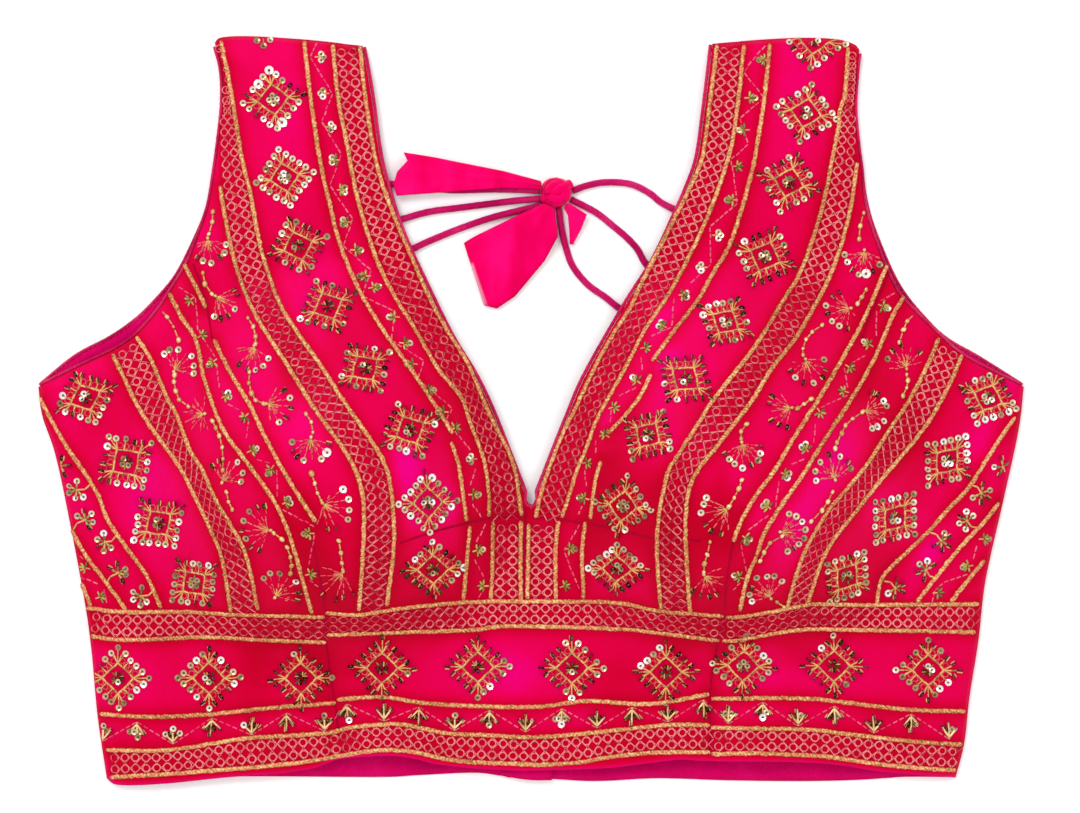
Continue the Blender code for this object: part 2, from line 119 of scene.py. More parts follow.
# Soft folds from one point to another; a negative height is a hollow. The creases are the
# finer ones of the worn satin.
Fold = namedtuple("Fold", "x0 y0 x1 y1 height width")
FOLDS = [Fold(*row) for row in (
    (-205, -40, -130, -150, 1.5, 15), (-150, -165, -185, -95, -1.2, 14),
    (150, -155, 205, -50, 1.5, 15), (60, -160, 20, -90, 1.3, 16),
    (-30, -160, -55, -100, -1.0, 13), (-120, 165, -125, 60, 1.2, 16),
    (125, 165, 130, 60, 1.2, 16),
)]
CREASES = [Fold(*row) for row in (
    (-112, -96, -150, -44, -0.7, 6), (-126, -100, -172, -62, 0.6, 7),
    (-98, -118, -128, -170, 0.6, 6), (-100, -60, -84, -112, 0.5, 5),
    (-60, -108, -36, -152, 0.6, 8), (-12, -112, 8, -150, -0.5, 7), (26, -118, 44, -146, 0.5, 7),
    (80, -112, 66, -148, -0.6, 6), (104, -104, 126, -138, 0.8, 7),
    (112, -96, 150, -116, -0.6, 6), (98, -60, 120, -22, -0.6, 6), (104, -70, 140, -40, 0.6, 7),
    (148, 22, 170, -14, -0.6, 7), (196, 30, 176, -18, 0.7, 8), (224, 8, 196, -34, -0.7, 8),
    (-176, 46, -150, 4, 0.6, 7), (-222, 2, -190, -30, -0.7, 8), (-154, 96, -138, 58, -0.5, 6),
    (-92, 150, -100, 104, -0.5, 7), (154, 100, 136, 66, 0.5, 6), (98, 150, 104, 108, -0.5, 7),
    (-34, 20, -62, -26, 0.5, 7), (28, 12, 52, -30, 0.5, 7), (-200, -112, -176, -150, 0.6, 7),
    (204, -104, 186, -148, -0.6, 7),
)]

# Finished edges as laid, each row (across, up)
HEM_LEFT = (
    (-207, -179.5), (-201, -182.6), (-178, -181.8), (-150, -178.9), (-122, -176.7),
    (-106, -174.2), (-92.5, -169.6), (-70, -167.8), (-57, -169.3), (-46, -172.1),
    (-29, -174.2), (-8.5, -175.4), (0, -175.5),
)
HEM_RIGHT = (
    (0, -175.5), (19, -174.9), (38, -174), (57, -171.6), (72.5, -169.8),
    (86, -170.6), (117, -170.8), (137, -171.5), (152, -173), (167, -175.5),
    (187, -177.5), (206.7, -179.1),
)
SIDE_LEFT = (
    (-241.3, 13), (-238.4, -3), (-232, -22), (-225.2, -53.7), (-217.9, -92.7),
    (-214.5, -117), (-211.5, -149), (-207, -179.5),
)
SIDE_RIGHT = (
    (240.8, 13.2), (237.4, -9.8), (230, -44), (221.3, -83), (217.9, -112),
    (213.5, -140), (211, -162), (206.7, -179.1),
)
SHOULDER_LEFT = (
    (-156.4, 178.5), (-151, 181.6), (-137, 182.2), (-112, 180.7), (-93.5, 178.8),
    (-80.3, 177.1),
)
SHOULDER_RIGHT = (
    (161.9, 175.4), (157, 178.4), (148, 180.8), (130, 181.4), (105, 180),
    (86.1, 178.1),
)
STRAP_LEFT = (
    (-156.4, 178.5), (-153, 165.4), (-152.5, 150), (-154.2, 133), (-156.4, 117),
)
STRAP_RIGHT = (
    (161.9, 175.4), (160.5, 165), (159.5, 147), (161.1, 128), (162.6, 117),
)
ARMHOLE_LEFT = STRAP_LEFT + (
    (-159.3, 100), (-164.2, 85.4), (-169.6, 72.2), (-175.4, 62.5), (-183.2, 50.3),
    (-194, 38.1), (-204.2, 31.2), (-223.5, 22), (-241.3, 13),
)
ARMHOLE_RIGHT = STRAP_RIGHT + (
    (163.7, 103.5), (167.6, 87.8), (178.4, 61), (188.1, 49.3), (199.1, 38.6),
    (210, 29), (225.2, 20.5), (240.8, 13.2),
)
BACK_ARMHOLE_LEFT = STRAP_LEFT + (
    (-159.5, 100), (-164.6, 86.5), (-174.5, 66.8), (-185.2, 53.9), (-194, 45.4),
    (-206.2, 36.8), (-223.5, 27.5), (-241.3, 13),
)
BACK_ARMHOLE_RIGHT = STRAP_RIGHT + (
    (164.5, 103.2), (168.9, 87.8), (180.3, 62), (194, 44.6), (204.2, 35.4),
    (218.9, 27), (240.8, 13.2),
)
NECK_LEFT = (
    (-80.3, 177.1), (-78, 165.4), (-75.4, 149.8), (-73, 131.3), (-70.3, 117.1),
    (-65.1, 99.1), (-59.3, 83), (-51, 64.9), (-37.3, 37.1), (-26, 18.5),
    (-17.3, 0.5), (-6, -28.3), (-0.4, -43),
)
NECK_RIGHT = (
    (86.1, 178.1), (82.2, 146.4), (78.8, 123), (73.4, 107.8), (67.6, 94.7),
    (57.3, 73.2), (43.7, 51.7), (24.6, 18.1), (16.3, -1), (8.1, -21.5), (0, -43),
)
V_BOTTOM = (-0.2, -48.6)
NECK_POINT = (-0.2, -46.9)
NECK_TURN = ((-2.9, -44.7), NECK_POINT, (2.6, -44.5))  # the piping round the point of the V
NECK_LEGS_END = -39.9
BACK_NECK_LEFT = (
    (-80.3, 177.1), (-84.5, 160), (-83.5, 146), (-79, 117), (-67.8, 83),
    (-59.5, 64.9), (-46, 37), (-34, 17), (-26.5, 0), (-20, -22),
)
BACK_NECK_RIGHT = (
    (86.1, 178.1), (90.8, 160), (90.3, 146), (87, 123), (82.2, 107.8),
    (76.2, 94.7), (65.8, 73.2), (51.8, 51.7), (32.8, 18.1), (25, -1), (19, -22),
)
BACK_SCOOP_LEFT = ((-20, -22), (-17.5, -38), (-10, -52), (-1, -59.5), (10, -62))
BACK_SCOOP_RIGHT = ((19, -22), (16.5, -38), (9, -52), (-1, -59), (-12, -61.5))
BACK_HEM_LEFT = (
    (-207, -179.5), (-136.4, -178.7), (-74, -179), (-55.4, -178.1), (-29, -176.9),
    (-16.3, -178.1), (-1.2, -180.2), (10, -180.3),
)
BACK_HEM_RIGHT = (
    (206.7, -179.1), (184, -178.9), (172, -179.6), (157, -180.5), (131, -181),
    (95, -180.6), (72.5, -179.8), (57, -179.7), (31.5, -181), (10, -180), (-12, -179.2),
)
# The left half climbs on to the lap between these places across
LAP_START = -22.0
LAP_END = -4.0
LAP_RISE = 3.1

# Turns of cord round the knot: lean is how far one rises, and phase is where it starts
KNOT_X, KNOT_Y = 12.0, 106.0
Turn = namedtuple("Turn", "radius z lean phase")
KNOT_TURNS = (Turn(5.3, 2.3, 0.5, 0.3), Turn(5.0, 4.6, 0.8, 1.9), Turn(3.6, 6.1, 0.9, 3.6))
KNOT_REACH = 1.2  # how far a string goes on under the swell of the knot

# Routes of the strings, from the back neck to the knot
STRINGS = {
    "string_right_1": (
        (46.7, 47.2), (41.2, 50.8), (35.9, 55.1), (27.6, 61), (20.3, 69.8),
        (16.8, 79.1), (14.9, 86.9), (13.4, 97.2),
    ),
    "string_right_2": (
        (58.4, 67.6), (54.4, 73.2), (51.5, 78.6), (46.1, 84.4), (40.3, 89.3),
        (32.5, 95.6), (26, 99.3), (20.1, 102.2),
    ),
    "string_right_3": (
        (74.4, 95.6), (68.1, 98.6), (62.7, 101.5), (57.3, 105.9), (48, 110.2),
        (36, 111), (27, 109.4), (20.9, 107.2),
    ),
    "string_left_1": (
        (-75.8, 110.6), (-68.3, 110.2), (-55, 108.6), (-38, 107.2), (-20, 107.6),
        (-6, 107.4), (3.1, 106.9),
    ),
    "string_left_2": (
        (-68.9, 91.4), (-62.5, 93.2), (-50, 96.6), (-35, 98.6), (-18, 100.8),
        (-6, 102.2), (3.7, 102.9),
    ),
    "string_left_3": (
        (-62.6, 75.7), (-56.2, 79.4), (-46, 84), (-34, 88.8), (-20, 93.6),
        (-6, 97.2), (5.4, 99.7),
    ),
}

# Tails: each row is a section from the knot to the free end, with its two edges
Section = namedtuple("Section", "x0 y0 x1 y1 z")
TAILS = {
    "tail_upper": (
        Section(4.7, 111.4, 4.9, 107.4, 6.7),
        Section(-14, 116.4, -14, 108.0, 6.2),
        Section(-34.9, 120.5, -34, 106.6, 6.1),
        Section(-47.1, 123.0, -49, 105.4, 6.1),
        Section(-62.2, 125.4, -65.6, 104.2, 6.1),
    ),
    "tail_lower": (
        Section(6.0, 100.6, 11.2, 98.2, 6.8),
        Section(-6.0, 95.2, 13.0, 84.5, 6.2),
        Section(-19.6, 88.6, 6.4, 72.6, 3.6),
        Section(-27.0, 85.0, -8.0, 55.4, 2.8),
        Section(-30.0, 83.3, -16.8, 49.4, 2.6),
        Section(-33.0, 81.4, -23.3, 51.0, 2.5),
    ),
    "tail_small": (
        Section(15.6, 98.6, 18.2, 100.8, 6.4),
        Section(17.7, 94.6, 27.0, 95.2, 5.2),
        Section(18.4, 87.0, 24.0, 87.6, 3.6),
        Section(18.6, 80.6, 20.4, 81.0, 2.6),
    ),
}
# The notched free end of the upper tail
TAIL_NOTCH = ((-62.2, 125.4), (-60.3, 121.4), (-65.4, 115.8), (-67.2, 109.6), (-65.6, 104.2))
TAIL_CROWN = 1.1
# A pale painted highlight along the turned edge at the free end of the lower tail
TAIL_HIGHLIGHT_EDGE = ((-29.6, 70.4), (-23.4, 51.0))
TURNED_HIGHLIGHT_WIDTH = 1.1

# A painted highlight along the fold of the front's hem, which shows more magenta there
HEM_HIGHLIGHT_WIDTH = 1.9
HEM_PAINTED_SHEEN = 0.9

# ------------------------------------------------------------- the embroidery's draft

# The embroidery is laid out on a draft of squares, counted to the right and down, as an eye
# above the cloth sees it. They are the photograph's pixels, and the places on them were read
# off it. Each is this many millimetres.
SQUARE = 0.488
DRAFT_WIDTH = 1080
DRAFT_X, DRAFT_Y = 531.5, 410.0  # the square over the middle of the blouse
EYE_U, EYE_V = 540, 406.5  # the square under the eye
EYE = 2000.0  # height of the eye

# Lines of twisted gold cord
GOLD = {
    "neck left inner": (
        (360, 46), (368, 116), (383, 186), (422, 281), (443, 323), (469, 366), (488, 411),
        (512, 460), (519, 496), (521.5, 516),
    ),
    "centre left inner": ((521, 521), (520.5, 560), (521, 600)),
    "neck left outer": (
        (333, 45), (338, 97), (347, 144), (359, 204), (382, 272), (418, 334), (439, 370),
        (461, 397), (471, 425), (484, 460), (489, 496), (489, 517),
    ),
    "centre left outer": ((493, 522), (492.5, 560), (491, 600)),
    "vine left": (
        (304, 41), (311, 100), (319, 154), (329, 201), (342, 250), (363, 297), (386, 334),
        (400, 354), (422, 385), (452.5, 433),
    ),
    "vine left end": ((451, 442), (457.6, 461), (461.4, 481.6), (466.5, 521)),
    "vine low left": ((470, 526), (467, 560), (463.5, 600)),
    "main left inner": (
        (221, 41), (232, 96), (241, 154), (250, 192), (259, 240), (267, 269), (283, 310),
        (323, 369), (343, 400), (381, 456), (390, 485), (393, 512), (394, 545), (387, 606),
    ),
    "main left outer": (
        (220, 186), (224, 211), (234, 259), (253, 310), (288, 366), (316, 411), (339, 442),
        (353, 465), (361, 487), (364, 512), (363, 554), (359, 611),
    ),
    "channel left a high": ((184, 264), (196, 287), (206, 308)),
    "channel left a": (
        (214, 340), (232, 375.5), (250.6, 406), (263, 432.6), (279, 463), (295, 490),
        (316, 522),
    ),
    "channel left b": (
        (169, 293), (182, 318), (196, 340), (205, 381.6), (224, 430.6), (250.6, 467),
        (277, 506), (291.4, 541), (302, 578), (312, 614),
    ),
    "side left outer": (
        (113, 354), (126, 382), (142.4, 414), (161, 441), (181, 469), (195.5, 498),
        (210, 528.6), (222, 559), (231, 612),
    ),
    "side left inner": (
        (136, 336.7), (150.6, 359), (167, 398), (177, 416), (189.4, 449), (203, 471),
        (216, 500), (234, 530.6), (246.5, 557), (258, 610),
    ),
    "flank left a": (
        (40, 398), (52.6, 422.4), (67, 447), (85.3, 473.5), (98.6, 496), (107.8, 520),
        (126, 547), (146.5, 575.5), (161, 608),
    ),
    "flank left b": ((71.5, 530), (86, 556), (105.7, 581.6), (126, 610)),
    "flank left c": ((81.5, 583.5), (91.4, 606)),
    "neck right inner": (
        (717, 45), (709, 110), (702, 158), (688, 191), (666, 235), (643, 280), (630, 308),
        (610, 339), (592, 373), (576, 407), (562, 435), (551, 463), (542, 490), (535.5, 518),
    ),
    "centre right inner": ((528.8, 524), (528, 560), (527.3, 599)),
    "neck right outer": (
        (744, 45), (737, 110), (730, 152), (713, 203), (696, 242), (675, 283), (663, 303),
        (644, 331), (630, 359), (610, 395), (596, 421), (586, 449), (577, 470), (567, 502),
        (561.6, 517),
    ),
    "centre right outer": ((558.6, 521), (555.5, 551.6), (556, 599)),
    "vine right": (
        (770, 44), (764, 100), (758, 139), (751, 175), (732, 239), (713, 273), (697, 301),
        (677, 327), (652, 361),
    ),
    "vine right middle": ((651, 374.4), (638.6, 398.2), (621.8, 419.3), (607.7, 433.3)),
    "vine right end": ((600.7, 461.4), (595, 482.5), (590.2, 519)),
    "vine low right": ((585, 522), (582, 551.6), (583.7, 599)),
    "main right inner": (
        (848, 48), (845, 92), (840, 110), (838, 130), (832, 160), (824, 200), (814, 235),
        (800, 273), (783, 301), (758, 342), (733, 375), (713, 400), (701, 419), (680, 452),
        (668.8, 470), (663.7, 490), (658.6, 517), (657, 552), (660.6, 610),
    ),
    "main right outer": (
        (857, 163), (852, 200), (842, 242), (828, 280), (811, 312), (795, 339), (772, 368),
        (753, 399), (738, 419), (712, 452), (698, 470), (690, 486), (686, 511), (686, 552),
        (690, 613),
    ),
    "channel right a": (
        (887, 265), (864, 319), (842, 359), (819, 398), (793, 439), (776, 468), (757, 494),
        (742, 519), (733, 542),
    ),
    "channel right b": (
        (904, 296), (892, 317), (876, 355), (855, 393), (825, 439), (802, 476), (779, 509),
        (764, 534), (756, 557), (747, 578), (740, 611),
    ),
    "side right inner": (
        (939, 338), (927, 366), (910, 399), (890, 429), (868, 463), (845, 491), (828, 511),
        (808, 545), (798, 570), (787, 608),
    ),
    "side right outer": (
        (962, 355), (950, 383), (929, 421), (904, 453), (876, 486), (853, 515), (834, 539),
        (822, 561), (815, 580), (807, 606),
    ),
    "flank right a": (
        (1015, 417), (995, 446), (969, 487), (950, 507), (929, 531), (906, 553), (882, 578),
        (877, 604),
    ),
    "flank right b": ((999, 503), (982, 524), (962, 545), (940, 572), (916, 603)),
    "flank right c": ((985, 560), (972, 575), (951, 602)),
    "waist top left": ((87, 608), (123, 612), (187, 612), (241, 615), (324.6, 617.1)),
    "waist top": (
        (326, 613), (358, 615), (406, 608), (473, 602), (545, 601.5), (618, 603), (658, 611),
        (723.6, 616.4),
    ),
    "waist top right": (
        (725.8, 617.2), (741, 617), (782, 610), (815, 604), (859, 605), (979, 604),
    ),
    "waist foot left": ((91, 636), (126, 640), (205, 637), (260, 640), (326, 642.6)),
    "waist foot": (
        (327, 635.2), (360, 634), (416, 632), (473, 630), (511, 626), (618, 629), (650, 632),
        (719, 640.8),
    ),
    "waist foot right": ((722, 641.3), (741, 640), (799, 630), (859, 630), (975, 632)),
    "hem vine left": ((100, 714), (151, 717), (212, 714), (259, 709), (336, 702.8)),
    "hem vine": (
        (337, 699.5), (383, 697), (435, 704), (530, 707), (588, 701), (650, 704), (709.6, 694),
    ),
    "hem vine right": (
        (711.4, 698.8), (772, 698), (813, 699), (843, 702), (874, 706), (915, 710),
        (965, 711.4),
    ),
    "hem top": (
        (106, 750), (169, 750), (241, 739), (300, 735), (330, 732.6), (354, 727), (387.6, 724),
        (405, 724.6), (424, 728.6), (448, 733.3), (491, 735.3), (540, 737), (618, 730),
        (666, 725), (710, 724.9),
    ),
    "hem top right": (
        (711.2, 727.6), (766, 728.7), (812, 729.7), (843, 733.5), (881, 738), (920, 742),
        (962, 744.6),
    ),
    "hem foot": (
        (110, 777.4), (135, 775.8), (168, 774), (209, 770.8), (251, 767.5), (300, 762.5),
        (345, 755), (380, 750), (414, 752), (445, 759), (472, 762), (514, 763.6),
        (544.5, 764.6), (581, 762), (609.6, 757), (648, 753), (680, 752), (710.2, 752.3),
    ),
    "hem foot right": (
        (711.4, 754.1), (751, 753.3), (784, 754.3), (821, 756), (854, 760.4), (874, 763.5),
        (915, 767.6), (956, 770.3),
    ),
}
# Edges of the ring lace that no gold cord marks
BARE = {
    "strap left edge": ((215, 43), (219.5, 71), (221, 96), (219, 130), (219, 158), (220, 186)),
    "strap right edge": ((858, 50), (856.5, 86), (856, 110), (857, 135), (857, 163)),
}

# Bands of ring lace between two edges, each of one line or more
Lace = namedtuple("Lace", "left right")
LACES = (
    Lace(("neck left outer",), ("neck left inner",)),
    Lace(("centre left outer",), ("centre left inner",)),
    Lace(("neck right inner",), ("neck right outer",)),
    Lace(("centre right inner",), ("centre right outer",)),
    Lace(("strap left edge", "main left outer"), ("main left inner",)),
    Lace(("main right inner",), ("strap right edge", "main right outer")),
    Lace(("side left outer",), ("side left inner",)),
    Lace(("side right inner",), ("side right outer",)),
    Lace(("waist top left",), ("waist foot left",)),
    Lace(("waist top",), ("waist foot",)),
    Lace(("waist top right",), ("waist foot right",)),
    Lace(("hem top",), ("hem foot",)),
    Lace(("hem top right",), ("hem foot right",)),
)

# Seams of the darts, pulled in; the fine dark line along each is painted crease shade
SEAMS_SEWN = (
    ((524, 516), (489, 518.5), (467, 523), (433, 532), (400, 543)),
    ((534, 518), (560, 519.5), (610, 528), (657, 539), (700, 541)),
    ((312, 540), (319, 575), (325, 612), (326, 642), (331, 676), (335, 704), (338, 728)),
    ((733, 542), (727, 580), (724, 617), (718, 642), (712, 672), (710, 700), (710, 726),
     (710, 753)),
    ((526.5, 508), (525, 530), (524.5, 560), (524.5, 600)),
    ((193, 264), (200, 282), (207, 308), (212, 338)),
    ((889, 271), (884, 285), (872, 312), (862, 338)),
)

# The looks of sequins, a letter for each, in shades of painted reflection:
#   W a painted glint, nearly white; S the same, drawn larger, as it faces the light; b bright;
#   g dull olive gold; d dark, standing on its edge, mostly with a painted highlight stroke
#   beside it; t no sequin, only its thread.

# Diamonds of gold thread and sequins: turn is in degrees to the left, and looks runs round it
# from its right tip, turning left, five letters a side; heart is the four in its middle
Diamond = namedtuple("Diamond", "u v turn wide high looks heart")
DIAMONDS = [Diamond(*row) for row in (
    (261.5, 15, 5, 15, 15, "bgbgdgbdbgbgdbggbgdb", "dgdd"),
    (273, 99.4, 8, 15.2, 14.7, "dddgWSbSbdbbdbbbSbbb", "bgbb"),
    (284.5, 177.4, 12, 14.2, 13.7, "bbbbbbbbgbgbgbbbbbbb", "gWbb"),
    (298, 246, 18, 14.5, 14, "gdddgdgbddddgdbdgddd", "ddgd"),
    (328, 306, 25, 14.5, 13.5, "dddgdgddddWgdgddgddd", "dddd"),
    (365, 368, 34, 14, 13.5, "gdbdddgddbddgddgdbdd", "dgdd"),
    (410, 430, 26, 14.5, 14, "dddddbdddddbgWdgdddW", "ddbd"),
    (428, 502.6, 3, 13.8, 14.6, "gdggWdWbWbbbWbbbgWgW", "Wgbd"),
    (433, 569.5, 1, 15, 13.5, "WgddgWdgWdddddddddgb", "dddg"),
    (85.5, 397.5, 23, 15.5, 12.9, "ddddddddWgdbdbgbbbgd", "dWbd"),
    (126, 462, 34, 15.4, 15, "gddgbgWdddddbbbbbgbd", "dggg"),
    (158.5, 523, 35, 15, 13.6, "dddddddbbbWgbbbbbgbg", "dggd"),
    (194, 583, 37, 13.6, 13.2, "dWgbdddgggggbdgddbgg", "gggg"),
    (814, 40, -8, 15, 14, "bgbdgbdgbggbdbdgbbdg", "bdgd"),
    (806, 113, -12, 15, 14, "bbgbdgbbdbbgbbdgbdbb", "gbdb"),
    (789, 182.5, -15, 14.9, 14.2, "ddbdddbddbddgdbbdgbd", "dggd"),
    (765, 256.7, -22, 15.3, 14.7, "dddgbddddWdbbgdddddd", "ggbd"),
    (725.6, 321.8, -31, 13.9, 12.6, "ddgdddgbbbdWdbddddgd", "gdbb"),
    (685.6, 378.6, -37, 15, 13.1, "dddddddddddddbddbddd", "dddb"),
    (648, 435, -33, 12.7, 13.5, "bbdddgddddddddggdddd", "dddb"),
    (623, 506, -8, 13.2, 14.4, "bbgbdbddgdgggdbdbdgg", "bggg"),
    (616.8, 569, -2, 14.1, 12.2, "dbbgbgbWgbWbdddddddd", "ggdd"),
    (988, 398, -22, 14.7, 13.1, "bbdddgggbdddgdbbWWgW", "bdbb"),
    (947, 461, -38, 12.4, 15.1, "ddbWbWbbWggdgbbgddbb", "Wdbb"),
    (895, 518, -38, 12.4, 14.9, "gbgbbggbWggbgbgbgdbb", "Wdgg"),
    (847, 577, -34, 11.7, 14.7, "dgbbbgWdgbgbdddbgggb", "dggd"),
    (118, 678, 0, 15.3, 14.7, "gbbbbgbbdggdgggbggWW", "dddb"),
    (209, 678, 0, 15.3, 14.7, "gbdWddgWbggggbdbdddW", "ddbg"),
    (301, 678, 1, 15.3, 14.7, "gdddddbddddddddddddd", "dddd"),
    (382, 668, -1, 15.3, 14.7, "dddddddddddddddddddg", "dddd"),
    (478, 667, 0, 15.3, 14.7, "bgdddddddddddddggWdg", "dddd"),
    (572, 668, 0, 15.3, 14.7, "ggdgbdbdddddddgWgddg", "dddb"),
    (666, 672, 0, 15.3, 14.7, "ddddddWgWWdddddgdddd", "dddd"),
    (743.3, 666, -3, 15.3, 14.7, "dbWgdgdgddbgggddddgb", "gggd"),
    (834, 666, 0, 15.3, 14.7, "dddddbdWdddddddddgdd", "dddd"),
    (928, 670, 0, 15.3, 14.7, "dddgdgdgdgbgggddgWWd", "bbdd"),
)]

# Fans of thin thread: facing is in degrees from straight right, turning left, spread is how
# far it opens to each side, and looks runs the same way round
Fan = namedtuple("Fan", "u v facing spread looks reach", defaults=(11.4,))
FANS = [Fan(*row) for row in (
    (208, 240, -88, 75, "gbdgbdgb"), (217, 297, -36, 62, "bddbtdd"),
    (254, 347, -109, 72, "ttddbbb"), (268, 404, -8, 70, "tbddbdt"),
    (311, 439, -95, 78, "gddgtbSd"), (324, 504, -37, 72, "tddbbbW", 13.2),
    (342, 573, 230, 66, "tttdddd", 14.0), (175, 370, 58, 66, "bbbtbgb"),
    (203, 414, 190, 100, "tttttttt"), (223, 481, 62, 64, "ggbtdd"),
    (269, 530, 170, 75, "ddggdgdd", 13.4), (276, 596, 55, 68, "ddWtggg", 12.3),
    (864, 252, -95, 75, "gbdgSdgb"), (849, 308.5, 192, 72, "ddbdbbd"),
    (806, 361, -72, 78, "dbdbddg"), (790, 408, 190, 66, "tddtddd"),
    (742, 444, -78, 74, "dbbbdgbd"), (727, 509, 212, 62, "bbbdddt", 13.4),
    (705, 576, -50, 76, "ddddttt"), (906, 367, 104, 82, "tdtddgt"),
    (865, 411, 0, 70, "bWbtgWdd"), (834.6, 478, 105, 80, "gdbdbgb"),
    (782, 532, -5, 72, "gdbggbbb"), (770, 597, 122, 72, "bgbgdgb"),
)]

# Chains of beads that join the fans, each a short curve
CHAINS = (
    ((213, 212), (212.5, 222), (209, 234)), ((203, 273), (205, 284), (212, 294)),
    ((248, 318), (253.4, 326.7), (255.7, 336.5), (255.7, 344)),
    ((249.5, 372), (249, 383), (251.7, 393.3), (255.7, 400.2), (263.7, 403.7)),
    ((306.2, 414), (311.4, 422), (313, 432.3)),
    ((311.7, 473.6), (314.9, 483.4), (317.6, 493), (321.4, 500.7)),
    ((338.8, 540.8), (341, 552.8), (342, 563), (343, 570)),
    ((161, 310), (167.3, 317), (173.6, 326.7), (178.8, 340)),
    ((174.8, 375), (174.2, 381.8), (175.9, 391), (179.3, 399.6), (188.5, 406.5)),
    ((212.6, 421), (216, 427.8), (219.5, 435.8), (222.4, 447.3), (223, 459), (223, 470)),
    ((226.6, 492), (228.7, 501.8), (232.5, 509.4)), ((274, 533), (282, 539.2)),
    ((287.3, 547.3), (290.5, 557), (291.6, 565.8), (290.5, 573.4)),
    ((863.5, 213), (860, 226), (859, 239)), ((865.9, 289.7), (861.6, 297), (857.4, 303.6)),
    ((822, 325), (812, 332), (805.9, 339.4), (802.9, 348.5), (802.9, 355)),
    ((811, 399), (804, 404), (797.4, 408.4)), ((746.5, 424.2), (741, 431.5), (741, 438.7)),
    ((741.7, 480), (738.8, 488.5), (734.2, 497.7), (729, 506.3)),
    ((710, 541.9), (707.2, 554.6), (704.4, 563.7), (703.8, 572.3)),
    ((914.3, 314), (907, 321.2), (903.4, 329.7), (899.2, 342.4)),
    ((906.5, 374.5), (907.7, 380.6), (906.5, 387.8), (902.8, 395.7)),
    ((862.2, 412), (852.5, 418.7), (845.3, 425.4), (841.6, 433.3), (836.8, 442.4),
     (835, 448.4)),
    ((832.4, 492), (827.8, 501.7), (822, 510.4), (811, 521.3)),
    ((782, 536), (769.8, 543), (764, 552.3), (760, 560.9)), ((777, 602), (784, 607)),
)
# Runs of pink stitches that zigzag down the channels
ZIGZAGS = (
    ((317, 42), (310.5, 57.4), (332.6, 93.8), (321.8, 121.8), (341, 154), (330, 186),
     (353, 219), (343, 246), (371, 270), (362, 296), (394, 311), (392, 340), (424, 361),
     (418, 379), (452, 408), (446, 420), (471, 451)),
    ((476, 468), (469.5, 486)), ((472, 503), (481.5, 518)), ((486, 523), (476, 543)),
    ((474.5, 559), (484, 577.5)), ((482, 592), (478, 599)),
    ((765, 45), (744, 72), (764, 98), (740, 118), (748, 144), (731, 160), (737.5, 203),
     (710, 227), (711, 264), (690, 284)),
    ((673.7, 298), (672, 327), (650.5, 336.5)), ((640.7, 355.4), (642.5, 371.6)),
    ((637, 387), (618, 396.8)), ((611, 408), (610.5, 423.5)), ((596.5, 440), (595, 454)),
    ((585.3, 469.8), (586, 486.7)), ((582.5, 505.6), (578, 514.7)),
    ((580, 524), (564, 552), (580, 590)), ((178, 287), (195.4, 297), (198.3, 331.3)),
    ((203, 338), (216, 358)), ((216.7, 363.5), (219.5, 388.7)), ((227, 403.7), (240.8, 410.6)),
    ((248.8, 418.6), (246.5, 439.3)), ((256.8, 459.3), (270, 463.4)),
    ((277, 469.3), (277.5, 497.5)), ((282.4, 509.4), (314.9, 526.7)),
    ((314.9, 534.3), (308.4, 565.7)), ((309.5, 579.8), (319, 587)),
    ((897.4, 283.6), (900.4, 289.7), (880, 301)), ((876.2, 310.3), (876.2, 337)),
    ((865.3, 355), (851.3, 363.6)), ((844.7, 367.2), (847.7, 389)),
    ((847.7, 395), (819.8, 408.4)), ((815.6, 423), (813.2, 443.6)),
    ((804.8, 458.7), (789.9, 464.4)), ((779, 480.5), (775.5, 508)),
    ((769.2, 515), (747.4, 531)), ((740.5, 543.6), (746.3, 572.4)),
    ((740.5, 582.7), (732.5, 590.7)), ((80, 577), (98, 584)), ((104, 588), (107, 604)),
    ((70, 548), (84, 560)), ((977, 545), (973, 560)),
    ((968, 574), (943, 583), (935, 590), (932, 603)),
)
